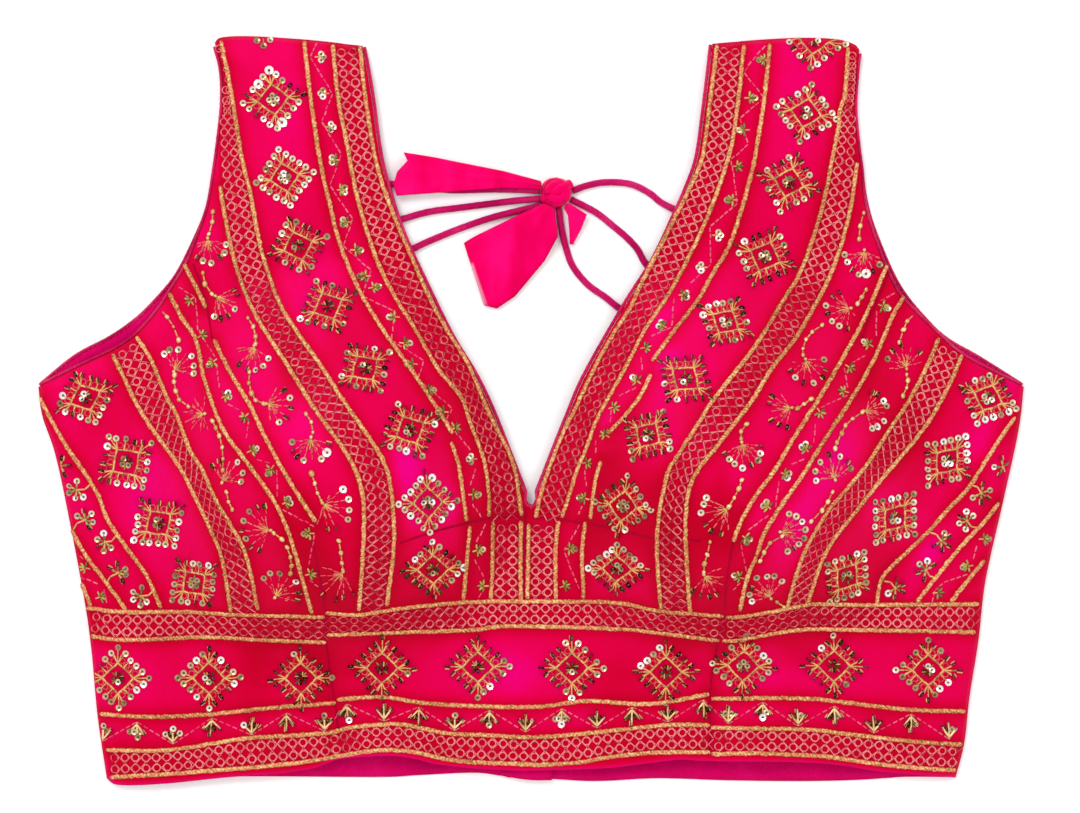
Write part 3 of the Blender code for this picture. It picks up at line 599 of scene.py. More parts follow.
# Small flowers beside the stitches: which way their five petals face from the stem, and the
# looks of the sequins on them
Flower = namedtuple("Flower", "u v facing looks")
FLOWERS = [Flower(*row) for row in (
    (320.7, 57, 0, "bgb"), (323.5, 93.5, 180, "gbW"), (330.5, 127, 0, "gbb"),
    (334, 160, 180, "bb"), (343, 190, 0, "bg"), (345, 222, 180, "bg"), (358, 250, 0, "g"),
    (363, 276, 180, "g"), (376, 287, 10, "g"), (392, 317, 180, "b"), (407, 343, 0, "b"),
    (410, 364, 180, "g"), (431, 390, 0, "g"), (441, 412, 180, "g"), (457.5, 426.6, 30, ""),
    (471.6, 459, 180, "bbg"), (475.8, 494.6, 0, "g"), (480, 550, 10, "b"), (481, 586, 180, ""),
    (762, 60, 180, "g"), (752, 98, 0, "g"), (742, 130, 180, "b"), (739.7, 166.4, 0, ""),
    (730, 200, 180, "g"), (717.9, 235.3, 0, "bbb"), (701.5, 267.4, 180, "bbW"),
    (684.6, 295, 0, "bb"), (661.5, 325, 150, "bb"), (648, 347, 10, ""), (635, 379, 140, "b"),
    (616, 407, 10, ""), (603, 433.5, 150, ""), (589, 463, 0, ""), (582, 498, 170, "g"),
    (572, 549, 0, "g"), (567, 585, 20, ""), (188, 301.5, 216, ""), (204, 334, 30, ""),
    (211, 363.5, 218, "g"), (227, 395.6, 20, "bW"), (243, 418.6, 222, ""),
    (254, 449.6, 22, "b"), (269.4, 471.4, 233, "g"), (287.8, 501.8, 23, "bb"),
    (306.8, 533.8, 184, "g"), (312.7, 573.3, 16, ""), (885.2, 307.3, -22, "b"),
    (866.5, 343, 152, "b"), (851.9, 368.5, -27, ""), (841.6, 391, 169, ""),
    (821, 414.5, -60, ""), (804.8, 447.2, 127, "WW"), (786.4, 474.8, -22, "Wb"),
    (766.3, 505.2, 139, "bb"), (746.8, 539.6, -42, "gg"), (737, 576.4, 161, "b"),
    (83, 567.5, 170, ""), (102.7, 596, 20, ""), (986.3, 539, 0, "g"), (965.6, 566.7, 190, "g"),
    (940.4, 592.8, 0, ""),
)]

# Curved sprigs, with an arm for each sequin: the heart, where the stem leaves its gold line,
# and the looks
Sprig = namedtuple("Sprig", "u v root_u root_v looks")
SPRIGS = [Sprig(*row) for row in (
    (61, 466, 54, 472, "dddg"), (77, 490, 91, 484, "bbgbW"), (85, 520, 73, 530, "dbbdg"),
    (105, 542, 116, 536, "Wbdgg"), (118, 573, 106, 584, "dggdd"), (141, 596, 154, 590, "gbbgb"),
    (1003, 467, 1010, 473, "gdbd"), (981, 493, 971, 485, "bddgd"),
    (967, 521, 978, 528, "bWdbb"), (941, 541, 929, 532, "ddddg"), (926, 570, 936, 578, "dWbdd"),
    (895, 588, 884, 581, "Wdddd"),
)]

# Lotus sprigs of the hem: up is 1, down -1; v is where the stem starts
Lotus = namedtuple("Lotus", "u v up looks")
LOTUSES = [Lotus(*row) for row in (
    (103, 741, 1, "dgbbd"), (137, 722, -1, "gbggd"), (173, 744, 1, "bdbdb"),
    (212, 718, -1, "ddddd"), (251.7, 735, 1, "ddddb"), (286.5, 713, -1, "ddddd"),
    (324.6, 731, 1, "ddgdd"), (346.7, 704, -1, "ddWdd"), (384, 721, 1, "ddddd"),
    (419, 707, -1, "ddddd"), (454.5, 730.6, 1, "ddgdd"), (489.4, 710, -1, "ddgdd"),
    (525.5, 732, 1, "ddddd"), (561.6, 708.6, -1, "gbWbd"), (597, 728, 1, "ddddd"),
    (632, 707, -1, "ddddd"), (668, 722, 1, "ddddd"), (703.4, 699.5, -1, "ddddd"),
    (728, 724, 1, "dbdgd"), (762.7, 702, -1, "ddWbd"), (798, 726, 1, "dgddd"),
    (834, 706, -1, "dddgd"), (873.7, 733, 1, "ddddd"), (911, 714, -1, "dddgd"),
    (949, 739, 1, "dbddd"),
)]

# Soft patches of painted sheen and shade on the satin, in squares: above 0 towards magenta,
# below to red
Patch = namedtuple("Patch", "u v across along amount")
SHEEN_AND_SHADE_PATCHES = [Patch(*row) for row in (
    (430, 510, 34, 40, 0.45), (400, 470, 26, 24, 0.3), (825, 490, 50, 75, 0.3),
    (772, 665, 36, 28, 0.3), (500, 670, 45, 32, 0.35), (650, 520, 56, 46, -0.45),
    (315, 590, 22, 36, -0.5), (120, 500, 40, 60, 0.2), (300, 420, 30, 40, 0.15),
    (230, 470, 30, 50, -0.15), (930, 560, 34, 44, 0.2), (880, 400, 26, 44, -0.2),
    (330, 670, 30, 30, -0.3), (620, 670, 30, 30, -0.2), (900, 670, 60, 34, 0.1),
    (160, 680, 50, 34, 0.1), (290, 130, 26, 60, 0.15), (785, 130, 26, 60, 0.1),
    (740, 380, 30, 34, -0.2), (560, 580, 26, 30, -0.25), (360, 330, 24, 30, -0.15),
    (700, 640, 22, 40, -0.25), (240, 250, 30, 40, 0.1), (850, 260, 26, 40, 0.1),
    (655, 312, 14, 22, 0.5), (664, 358, 14, 14, 0.4), (606, 420, 10, 14, 0.4),
    (612, 465, 24, 44, -0.45), (684, 436, 18, 22, 0.1), (706, 462, 16, 26, 0.1),
    (798, 545, 34, 44, 0.4), (722, 520, 16, 60, -0.35), (270, 90, 50, 60, 0.12),
    (800, 100, 50, 60, 0.12), (840, 450, 30, 40, 0.3), (300, 520, 26, 40, -0.2),
    (408, 460, 14, 26, 0.3), (452, 510, 12, 26, 0.35), (290, 382, 14, 34, -0.35),
    (336, 350, 16, 26, -0.22), (255, 665, 20, 30, -0.35), (705, 650, 14, 30, 0.35),
    (792, 650, 20, 24, -0.22), (600, 545, 14, 24, -0.2), (650, 484, 14, 24, -0.2),
    (690, 415, 20, 24, -0.28), (800, 368, 16, 30, -0.22), (726, 562, 12, 24, 0.2),
    (880, 500, 22, 26, 0.35), (986, 448, 22, 30, 0.35), (928, 544, 22, 28, 0.3),
    (60, 430, 16, 34, 0.2), (150, 562, 22, 24, 0.14), (1012, 388, 12, 22, 0.3),
    (421, 517, 12, 16, 0.2), (450, 450, 14, 18, 0.2), (736, 476, 12, 18, 0.2),
    (757, 510, 14, 20, 0.2),
)]

rng = np.random.default_rng(7)

# ------------------------------------------------------------------------------- curves


def smooth(rows, steps=10):
    """A curve through the rows: each stretch leaves and meets its ends along their neighbours."""
    rows = np.array(rows, float)
    ends = np.vstack([2 * rows[0] - rows[1], rows, 2 * rows[-1] - rows[-2]])
    u = np.linspace(0, 1, steps, endpoint=False)[:, None]
    curve = []
    for a, b, c, d in zip(ends, ends[1:], ends[2:], ends[3:]):
        curve.append(
            0.5 * (2 * b + (c - a) * u + (2 * a - 5 * b + 4 * c - d) * u**2
                   + (3 * b - a - 3 * c + d) * u**3)
        )
    return np.vstack([*curve, rows[-1:]])


def lengths_along(curve):
    return np.concatenate([[0], np.cumsum(np.linalg.norm(np.diff(curve, axis=0), axis=1))])


def at_lengths(curve, wanted):
    along = lengths_along(curve)
    return np.column_stack([np.interp(wanted, along, axis) for axis in curve.T])


def even(curve, count):
    """The curve's points again, count stretches of one length."""
    return at_lengths(curve, np.linspace(0, lengths_along(curve)[-1], count + 1))


def unit(vectors):
    return vectors / np.maximum(np.linalg.norm(vectors, axis=-1, keepdims=True), 1e-12)


def headings(angles):
    """Steps of one millimetre at the angles."""
    return np.column_stack([np.cos(angles), np.sin(angles)])


def angle_of(steps):
    return np.arctan2(steps[..., 1], steps[..., 0])


def rotated(step, angle):
    """The step turned to the left."""
    c, s = math.cos(angle), math.sin(angle)
    return np.array([step[0] * c - step[1] * s, step[0] * s + step[1] * c])


def beside(curve, distance):
    """The curve moved to its left by the distance, or to its right if that is negative."""
    tangent = unit(np.gradient(curve, axis=0))
    return curve + distance * np.column_stack([-tangent[:, 1], tangent[:, 0]])


def patch(bottom, top, left, right):
    """A grid of points that fills four edges; left and right run from bottom to top."""
    s = np.linspace(0, 1, len(bottom))[None, :, None]
    t = np.linspace(0, 1, len(left))[:, None, None]
    across = (1 - t) * bottom[None] + t * top[None]
    up = (1 - s) * left[:, None] + s * right[:, None]
    low = (1 - s) * bottom[0] + s * bottom[-1]
    high = (1 - s) * top[0] + s * top[-1]
    return across + up - (1 - t) * low - t * high


def distance_to(points, line):
    """How far each point lies from a line of points."""
    nearest = np.full(len(points), np.inf)
    for start, end in zip(line, line[1:]):
        step = end - start
        share = np.clip(((points - start) @ step) / max(step @ step, 1e-9), 0, 1)
        away = points - start - share[:, None] * step
        nearest = np.minimum(nearest, np.hypot(away[:, 0], away[:, 1]))
    return nearest


def within(points, outline):
    """Which of the points lie inside a closed outline."""
    inside = np.zeros(len(points), bool)
    x, y = points.T
    for (x0, y0), (x1, y1) in zip(outline, np.roll(outline, -1, axis=0)):
        if y0 != y1:
            crosses = (y0 > y) != (y1 > y)
            inside ^= crosses & (x < x0 + (y - y0) * (x1 - x0) / (y1 - y0))
    return inside


# ----------------------------------------------------------------------- the front's form


def ridge(points, x0, y0, x1, y1, width):
    """Closeness to a straight crease, and how far along it each point lies."""
    start, step = np.array([x0, y0]), np.array([x1 - x0, y1 - y0])
    share = np.clip(((points - start) @ step) / (step @ step), 0, 1)
    away = np.linalg.norm(points - start - share[:, None] * step, axis=1)
    return np.exp(-((away / width) ** 2)), share


def cup_height(points, cup):
    dx = (points[:, 0] - cup.x) * math.copysign(1, cup.x)
    dy = points[:, 1] - cup.y
    wide = np.where(dx > 0, cup.outward, cup.inward)
    tall = np.where(dy > 0, cup.up, cup.down)
    inside = np.clip(1 - (dx / wide) ** 2 - (dy / tall) ** 2, 0, 1)
    return cup.rise * inside**CUP_ROUNDNESS


def front_height(points, seams):
    """Height of the front's upper face over each point."""
    rest = np.full(len(points), LOFT)
    for line, top in seams:
        rise = 1 - np.exp(-distance_to(points, line) / ROLL)
        rest = np.minimum(rest, top + (LOFT - top) * rise)
    loose = (rest - SEAM_TOP) / (LOFT - SEAM_TOP)
    height = rest + sum(cup_height(points, cup) for cup in CUPS)
    for arch in ARCHES:
        away = ((points[:, 0] - arch.x) / arch.across) ** 2
        away += ((points[:, 1] - arch.y) / arch.along) ** 2
        height += arch.rise * np.exp(-away) * loose
    for fold in FOLDS + CREASES:
        near, share = ridge(points, fold.x0, fold.y0, fold.x1, fold.y1, fold.width)
        height += fold.height * near * np.sin(math.pi * share) * loose
    for dart in DARTS:
        near, share = ridge(points, dart.x0, dart.y0, dart.x1, dart.y1, dart.width)
        height -= dart.depth * near * (1 - share) * loose
    return height


def front_edges():
    """Edges of the front's halves, and the seams that hold it down."""
    middle = even(np.array([HEM_LEFT[-1], V_BOTTOM]), ROWS_LOW)
    seams, halves = [], []
    for sign, hem, side, armhole, shoulder, neck in (
        (1, HEM_LEFT, SIDE_LEFT, ARMHOLE_LEFT, SHOULDER_LEFT, NECK_LEFT),
        (-1, HEM_RIGHT[::-1], SIDE_RIGHT, ARMHOLE_RIGHT, SHOULDER_RIGHT, NECK_RIGHT),
    ):
        armhole = beside(smooth(armhole), sign * INSET)
        neck = np.vstack([beside(smooth(neck), -sign * INSET)[:-V_STEPS], V_BOTTOM])
        side = smooth((armhole[-1], *side[1:]))
        shoulder = smooth((armhole[0], *shoulder[1:-1], neck[0]))
        seams += [(side, SEAM_TOP), (shoulder, SEAM_TOP), (armhole, ARMHOLE_TOP)]
        halves.append((
            even(smooth(hem), COLUMNS), even(side[::-1], ROWS_LOW),
            even(np.array([armhole[-1], V_BOTTOM]), COLUMNS), even(shoulder, COLUMNS),
            even(armhole[::-1], ROWS_HIGH), even(neck[::-1], ROWS_HIGH),
        ))
    return middle, seams, halves


MIDDLE, SEAMS, HALVES = front_edges()
(HEM_A, SIDE_A, _, TOP_A, ARM_A, NECK_A), (HEM_B, SIDE_B, _, TOP_B, ARM_B, NECK_B) = HALVES
OUTLINE = np.vstack([
    HEM_A[::-1], SIDE_A, ARM_A, TOP_A, NECK_A[::-1], NECK_B, TOP_B[::-1], ARM_B[::-1],
    SIDE_B[::-1], HEM_B,
])


class Surface:
    """A value over the cloth, read from a square grid, which is quicker than its formula."""

    STEP = 1.5
    LOW = np.array([-246.0, -188.0])
    HIGH = np.array([246.0, 188.0])

    def __init__(self, formula):
        self.count = ((self.HIGH - self.LOW) / self.STEP).astype(int) + 1
        xs = self.LOW[0] + self.STEP * np.arange(self.count[0])
        ys = self.LOW[1] + self.STEP * np.arange(self.count[1])
        grid = np.stack(np.meshgrid(xs, ys), axis=-1).reshape(-1, 2)
        self.values = formula(grid).reshape(len(ys), len(xs))

    def height(self, points):
        place = (points - self.LOW) / self.STEP
        cell = np.clip(place.astype(int), 0, self.count - 2)
        x, y = np.clip(place - cell, 0, 1).T
        column, row = cell.T
        low = self.values[row, column] * (1 - x) + self.values[row, column + 1] * x
        high = self.values[row + 1, column] * (1 - x) + self.values[row + 1, column + 1] * x
        return low * (1 - y) + high * y

    def up(self, points):
        """The direction at right angles to the surface."""
        e = self.STEP
        across = self.height(points + (e, 0)) - self.height(points - (e, 0))
        along = self.height(points + (0, e)) - self.height(points - (0, e))
        return unit(np.column_stack([-across, -along, np.full(len(points), 2 * e)]))


def front_top(points):
    return front_height(points, SEAMS)


def depth_inside(points):
    """How far inside the front's edge each point lies; below 0 is outside."""
    return distance_to(points, OUTLINE) * np.where(within(points, OUTLINE), 1, -1)


CLOTH_TOP = Surface(front_top)
INSIDE = Surface(depth_inside)
FOOT = np.array([(EYE_U - DRAFT_X) * SQUARE, (DRAFT_Y - EYE_V) * SQUARE])  # below the eye


def plan(squares):
    """Points of the draft, which is drawn as the eye sees it, as points across the cloth."""
    squares = np.atleast_2d(np.array(squares, float))
    seen = np.column_stack([(squares[:, 0] - DRAFT_X), (DRAFT_Y - squares[:, 1])]) * SQUARE
    points = seen
    for _ in range(3):
        points = FOOT + (seen - FOOT) * (1 - CLOTH_TOP.height(points) / EYE)[:, None]
    return points


def axes_at(points, angles):
    """Directions on the cloth at the angles, to their left, and up from the cloth."""
    up = CLOTH_TOP.up(points)
    along = np.column_stack([np.cos(angles), np.sin(angles), np.zeros(len(points))])
    along = unit(along - (along * up).sum(1)[:, None] * up)
    return along, np.cross(up, along), up


# ----------------------------------------------------------------------------- materials

LIGHT = 1.3  # how bright the soft light makes a white cloth that lies flat


def linear(red, green, blue):
    """The colour of cloth that looks like this display colour, 0 to 255, under the light."""
    shares = np.array([red, green, blue]) / 255
    low = shares / 12.92
    high = ((shares + 0.055) / 1.055) ** 2.4
    return (*(np.where(shares <= 0.04045, low, high) / LIGHT).tolist(), 1.0)


class Finish:
    """A material and its nodes."""

    def __init__(self, name, roughness, **constants):
        self.material = bpy.data.materials.new(name)
        self.material.use_nodes = True
        self.tree = self.material.node_tree
        self.shader = self.tree.nodes["Principled BSDF"]
        self.shader.inputs["Roughness"].default_value = roughness
        for socket, value in constants.items():
            self.shader.inputs[socket.replace("_", " ")].default_value = value

    def node(self, kind, inputs=(), **settings):
        node = self.tree.nodes.new(kind)
        for key, value in settings.items():
            setattr(node, key, value)
        for key, value in dict(inputs).items():
            if isinstance(value, bpy.types.NodeSocket):
                self.tree.links.new(value, node.inputs[key])
            else:
                node.inputs[key].default_value = value
        return node

    def attribute(self, name):
        return self.node("ShaderNodeAttribute", attribute_name=name).outputs["Fac"]

    def place(self):
        return self.node("ShaderNodeTexCoord").outputs["Object"]

    def noise(self, scale, detail=2.0, stretch=(1, 1, 1), turn=0.0):
        vector = self.node(
            "ShaderNodeMapping",
            {"Vector": self.place(), "Scale": stretch, "Rotation": (0, 0, turn)},
        ).outputs["Vector"]
        return self.node(
            "ShaderNodeTexNoise", {"Vector": vector, "Scale": scale, "Detail": detail}
        ).outputs["Fac"]

    def math(self, operation, first, second=0.0):
        return self.node(
            "ShaderNodeMath", {0: first, 1: second}, operation=operation
        ).outputs[0]

    def ramp(self, value, *stops):
        node = self.node("ShaderNodeValToRGB", {"Fac": value})
        stretch = node.color_ramp.elements
        while len(stretch) < len(stops):
            stretch.new(0.5)
        for element, (position, colour) in zip(stretch, stops):
            element.position = position
            element.color = colour
        return node.outputs["Color"]

    def swing(self, value, amount):
        """How far a value is from its middle, 0.5, times the amount."""
        return self.math("MULTIPLY", self.math("SUBTRACT", value, 0.5), amount)

    def mix(self, share, first, second):
        node = self.node("ShaderNodeMix", {0: share, 6: first, 7: second}, data_type="RGBA")
        return node.outputs[2]

    def colour(self, value):
        self.tree.links.new(value, self.shader.inputs["Base Color"])

    def bump(self, value, strength, distance):
        node = self.node(
            "ShaderNodeBump", {"Height": value, "Strength": strength, "Distance": distance}
        )
        self.tree.links.new(node.outputs["Normal"], self.shader.inputs["Normal"])


SATIN_GLOSS = {"Specular_IOR_Level": 0.3, "Specular_Tint": (1.0, 0.02, 0.3, 1.0)}


def satin_finish():
    """Hot pink satin: red to magenta as it turns, in painted shade and sheen, with a fine weave
    and small creases.
    """
    f = Finish("hot pink satin", 0.4, **SATIN_GLOSS)
    cloud = f.noise(26, 3)
    # the tone attribute holds painted shade and sheen
    shade = f.math("ADD", f.attribute("tone"), f.swing(cloud, 0.5))
    satin = f.ramp(
        shade, (0.0, linear(192, 0, 26)), (0.3, linear(214, 0, 46)), (0.5, linear(227, 0, 67)),
        (0.7, linear(238, 0, 88)), (1.0, linear(244, 0, 132)),
    )
    ground = f.ramp(
        shade, (0.0, linear(180, 0, 20)), (0.5, linear(202, 0, 36)), (1.0, linear(216, 0, 52)),
    )
    weave = f.noise(900, 1, (1, 0.35, 1))
    coloured = f.mix(f.attribute("ground"), satin, ground)
    f.colour(f.mix(f.math("MULTIPLY", weave, 0.16), coloured, linear(150, 0, 40)))
    small = f.noise(150, 3, (1, 0.5, 1), 0.5)
    f.bump(f.math("ADD", small, f.math("MULTIPLY", weave, 0.12)), 0.35, 0.0006)
    return f.material


def plain_satin(name, dark, middle, light, roughness=0.45):
    """Satin of one colour with a fine grain and soft clouds."""
    f = Finish(name, roughness, **SATIN_GLOSS)
    grain = f.noise(1200, 2, (1, 0.5, 1))
    cloud = f.noise(45, 3)
    shade = f.math("ADD", f.math("MULTIPLY", grain, 0.35), f.math("MULTIPLY", cloud, 0.65))
    f.colour(f.ramp(
        shade, (0.3, linear(*dark)), (0.5, linear(*middle)), (0.72, linear(*light)),
    ))
    f.bump(f.math("ADD", grain, f.noise(220, 2)), 0.3, 0.0004)
    return f.material


def tie_finish():
    """Smooth doubled satin, with a pale painted highlight where its turned edge catches the
    light.
    """
    f = Finish("tie satin", 0.4, **SATIN_GLOSS)
    cloud = f.noise(70, 2, (1, 0.5, 1))
    body = f.ramp(
        cloud, (0.3, linear(226, 0, 76)), (0.5, linear(243, 0, 95)), (0.7, linear(252, 10, 116)),
    )
    # the turned attribute mixes in the pale painted highlight
    f.colour(f.mix(f.attribute("turned"), body, linear(244, 176, 196)))
    grain = f.noise(1200, 1, (1, 0.4, 1))
    f.bump(f.math("ADD", cloud, f.math("MULTIPLY", grain, 0.06)), 0.3, 0.0008)
    return f.material


def zari_finish():
    """Gold threads twisted into a cord: pale and deep turns with olive hollows, which are painted
    highlight and shade of its strands, and salmon flecks.
    """
    f = Finish("twisted gold thread", 0.5, Metallic=0.1, Specular_IOR_Level=0.4)
    drift = f.math("MULTIPLY", f.noise(420, 2), 14.0)
    # the twist paints highlight on the strands and shade in the hollows between them
    around = f.math("MULTIPLY", f.attribute("around"), 2.0)
    turn = f.math("SUBTRACT", around, f.attribute("along"))
    twist = f.math("SINE", f.math("ADD", turn, drift))
    share = f.math("ADD", f.math("MULTIPLY", twist, 0.13), 0.52)
    grain = f.math("SUBTRACT", f.noise(900, 2), 0.5)
    worn = f.math("ADD", f.math("MULTIPLY", grain, 1.9), f.swing(f.noise(38, 2), 0.8))
    colour = f.ramp(
        f.math("ADD", share, worn), (0.05, linear(122, 66, 24)), (0.3, linear(178, 116, 48)),
        (0.55, linear(224, 150, 84)), (0.9, linear(255, 214, 150)),
    )
    red = f.math("MULTIPLY", f.math("GREATER_THAN", f.noise(640, 1), 0.53), 0.45)
    f.colour(f.mix(red, colour, linear(228, 92, 84)))
    f.bump(f.math("ADD", share, f.math("MULTIPLY", grain, 0.8)), 0.6, 0.0004)
    return f.material


def thread_finish(name, dark, light, metallic=0.0, roughness=0.5):
    """Thread or metal whose shade changes from piece to piece."""
    f = Finish(name, roughness, Metallic=metallic, Specular_IOR_Level=0.3)
    fleck = f.noise(1500, 2)
    shade = f.math("ADD", f.attribute("tone"), f.swing(fleck, 0.5))
    f.colour(f.ramp(shade, (0.0, linear(*dark)), (1.0, linear(*light))))
    f.bump(fleck, 0.3, 0.0002)
    return f.material


def sequin_finish():
    """Thin metal discs in painted reflection: dark on their edges, olive, gold or nearly white as
    they lie.
    """
    f = Finish("sequins", 0.24, Metallic=0.75, Specular_IOR_Level=0.5)
    fleck = f.noise(900, 1)
    shade = f.math("ADD", f.attribute("tone"), f.swing(fleck, 0.3))
    f.colour(f.ramp(
        shade, (0.0, linear(44, 26, 20)), (0.25, linear(110, 84, 50)),
        (0.5, linear(186, 160, 116)), (0.72, linear(238, 216, 178)),
        (0.92, linear(255, 252, 244)),
    ))
    return f.material


SATIN = satin_finish()
LINING = plain_satin("magenta lining", (196, 0, 80), (216, 2, 94), (229, 12, 106), 0.6)
PIPING_CLOTH = plain_satin("piping satin", (156, 10, 56), (202, 32, 84), (234, 66, 118))
STRING_CLOTH = plain_satin("string satin", (160, 6, 72), (196, 18, 94), (226, 54, 128))
TIES = tie_finish()
DART_CREASE_SHADE = plain_satin("dart crease shade", (150, 0, 30), (172, 0, 44), (186, 0, 54))
ZARI = zari_finish()
LACE = thread_finish("lace thread", (206, 24, 56), (254, 148, 142))
PINK = thread_finish("pink thread", (236, 44, 92), (255, 116, 144))
RED = thread_finish("red thread", (226, 44, 60), (250, 120, 116))
GOLD_THREAD = thread_finish("gold thread", (176, 104, 62), (248, 192, 116), 0.05, 0.45)
PETAL = thread_finish("olive petals", (52, 34, 20), (196, 176, 90), 0.4, 0.3)
KNOT_THREAD = thread_finish("sequin knots", (70, 40, 30), (150, 110, 90))
BEAD = thread_finish("gold beads", (196, 140, 66), (255, 222, 160), 0.5, 0.25)
SEQUIN = sequin_finish()
BRASS = thread_finish("brass hooks", (150, 110, 50), (220, 180, 110), 0.9, 0.35)

# ---------------------------------------------------------------------- small shapes by hand


Shape = namedtuple("Shape", "points faces")  # the points are in millimetres


def from_lowest(face):
    """The face's corners from the lowest number on, which is the same in every run."""
    first = face.index(min(face))
    return face[first:] + face[:first]


def modelled(item):
    """Reads the shape that has just been modelled, and clears it away."""
    if bpy.context.object.mode != "OBJECT":
        bpy.ops.object.mode_set(mode="OBJECT")
    bpy.ops.object.transform_apply(location=True, rotation=True, scale=True)
    mesh = item.data
    points = np.array([corner.co for corner in mesh.vertices]) / MM
    faces = sorted(from_lowest(tuple(face.vertices)) for face in mesh.polygons)
    bpy.data.objects.remove(item, do_unlink=True)
    bpy.data.meshes.remove(mesh)
    return Shape(points, faces)


def edit(item):
    bpy.ops.object.select_all(action="DESELECT")
    item.select_set(True)
    bpy.context.view_layer.objects.active = item
    bpy.ops.object.mode_set(mode="EDIT")
    bpy.ops.mesh.select_mode(type="FACE")
    bpy.ops.mesh.select_all(action="SELECT")


def thicken(item, wall, **settings):
    """Gives a sheet its thickness."""
    thick = item.modifiers.new("wall", "SOLIDIFY")
    thick.thickness = wall * MM
    for key, value in settings.items():
        setattr(thick, key, value)
    bpy.context.view_layer.objects.active = item
    bpy.ops.object.modifier_apply(modifier="wall")


def sequin_shape(radius=1.72, hole=0.62, cup=0.28, wall=0.12):
    """A cupped disc with a hole."""
    bpy.ops.mesh.primitive_circle_add(vertices=9, radius=radius * MM, fill_type="NGON")
    item = bpy.context.object
    edit(item)
    bpy.ops.mesh.inset(thickness=(radius - hole) * MM, depth=-cup * MM)
    bpy.ops.mesh.delete(type="FACE")
    bpy.ops.object.mode_set(mode="OBJECT")
    thicken(item, wall)
    return modelled(item)


def ring_shape(radius=1.78, thread=0.3):
    bpy.ops.mesh.primitive_torus_add(
        major_radius=radius * MM, minor_radius=thread * MM, major_segments=12, minor_segments=4
    )
    return modelled(bpy.context.object)


def stroke_shape(body=0.7, taper=0.75):
    """A stitch one millimetre long along +X and one across, narrower beyond its body."""
    bpy.ops.mesh.primitive_cylinder_add(
        vertices=5, radius=0.5 * MM, depth=body * MM, rotation=(0, math.pi / 2, 0)
    )
    end = (1 - body) / 2
    item = bpy.context.object
    bpy.ops.object.transform_apply(location=False, rotation=True, scale=False)
    edit(item)
    bpy.ops.mesh.select_all(action="DESELECT")
    bpy.ops.object.mode_set(mode="OBJECT")
    for direction in (1, -1):
        for face in item.data.polygons:
            face.select = face.normal.x * direction > 0.9
        bpy.ops.object.mode_set(mode="EDIT")
        bpy.ops.mesh.extrude_region_move(
            TRANSFORM_OT_translate={"value": (end * direction * MM, 0, 0)}
        )
        bpy.ops.transform.resize(
            value=(1, taper, taper), center_override=(0.5 * direction * MM, 0, 0)
        )
        bpy.ops.mesh.select_all(action="DESELECT")
        bpy.ops.object.mode_set(mode="OBJECT")
    return modelled(item)


def bead_shape(around, rows):
    """A ball one millimetre across."""
    bpy.ops.mesh.primitive_uv_sphere_add(segments=around, ring_count=rows, radius=0.5 * MM)
    return modelled(bpy.context.object)


DISC = sequin_shape()
RING = ring_shape()
STROKE = stroke_shape()
BALL = bead_shape(7, 5)
DOT = bead_shape(6, 4)

# Yarns: how high over the cloth a stitch lies, and how thick it is
Yarn = namedtuple("Yarn", "lift thick")
HIGHLIGHT_STROKE = Yarn(0.5, 0.8)
SPOKE = Yarn(0.4, 0.6)
FINE_SPOKE = Yarn(0.4, 0.55)
OUTLINE_YARN = Yarn(0.35, 0.7)
STEM = Yarn(0.35, 0.6)
ARM = Yarn(0.35, 0.5)
STUB = Yarn(0.6, 0.8)
RED_YARN = Yarn(0.3, 0.5)
PINK_YARN = Yarn(0.2, 0.5)
PETAL_YARN = Yarn(1.1, 0.9)
LACE_YARN = Yarn(0.24, 0.42)
PETAL_THICK = 0.9
EDGE_ROOM = 1.2  # small pieces nearer to the cloth's edge than this are left out


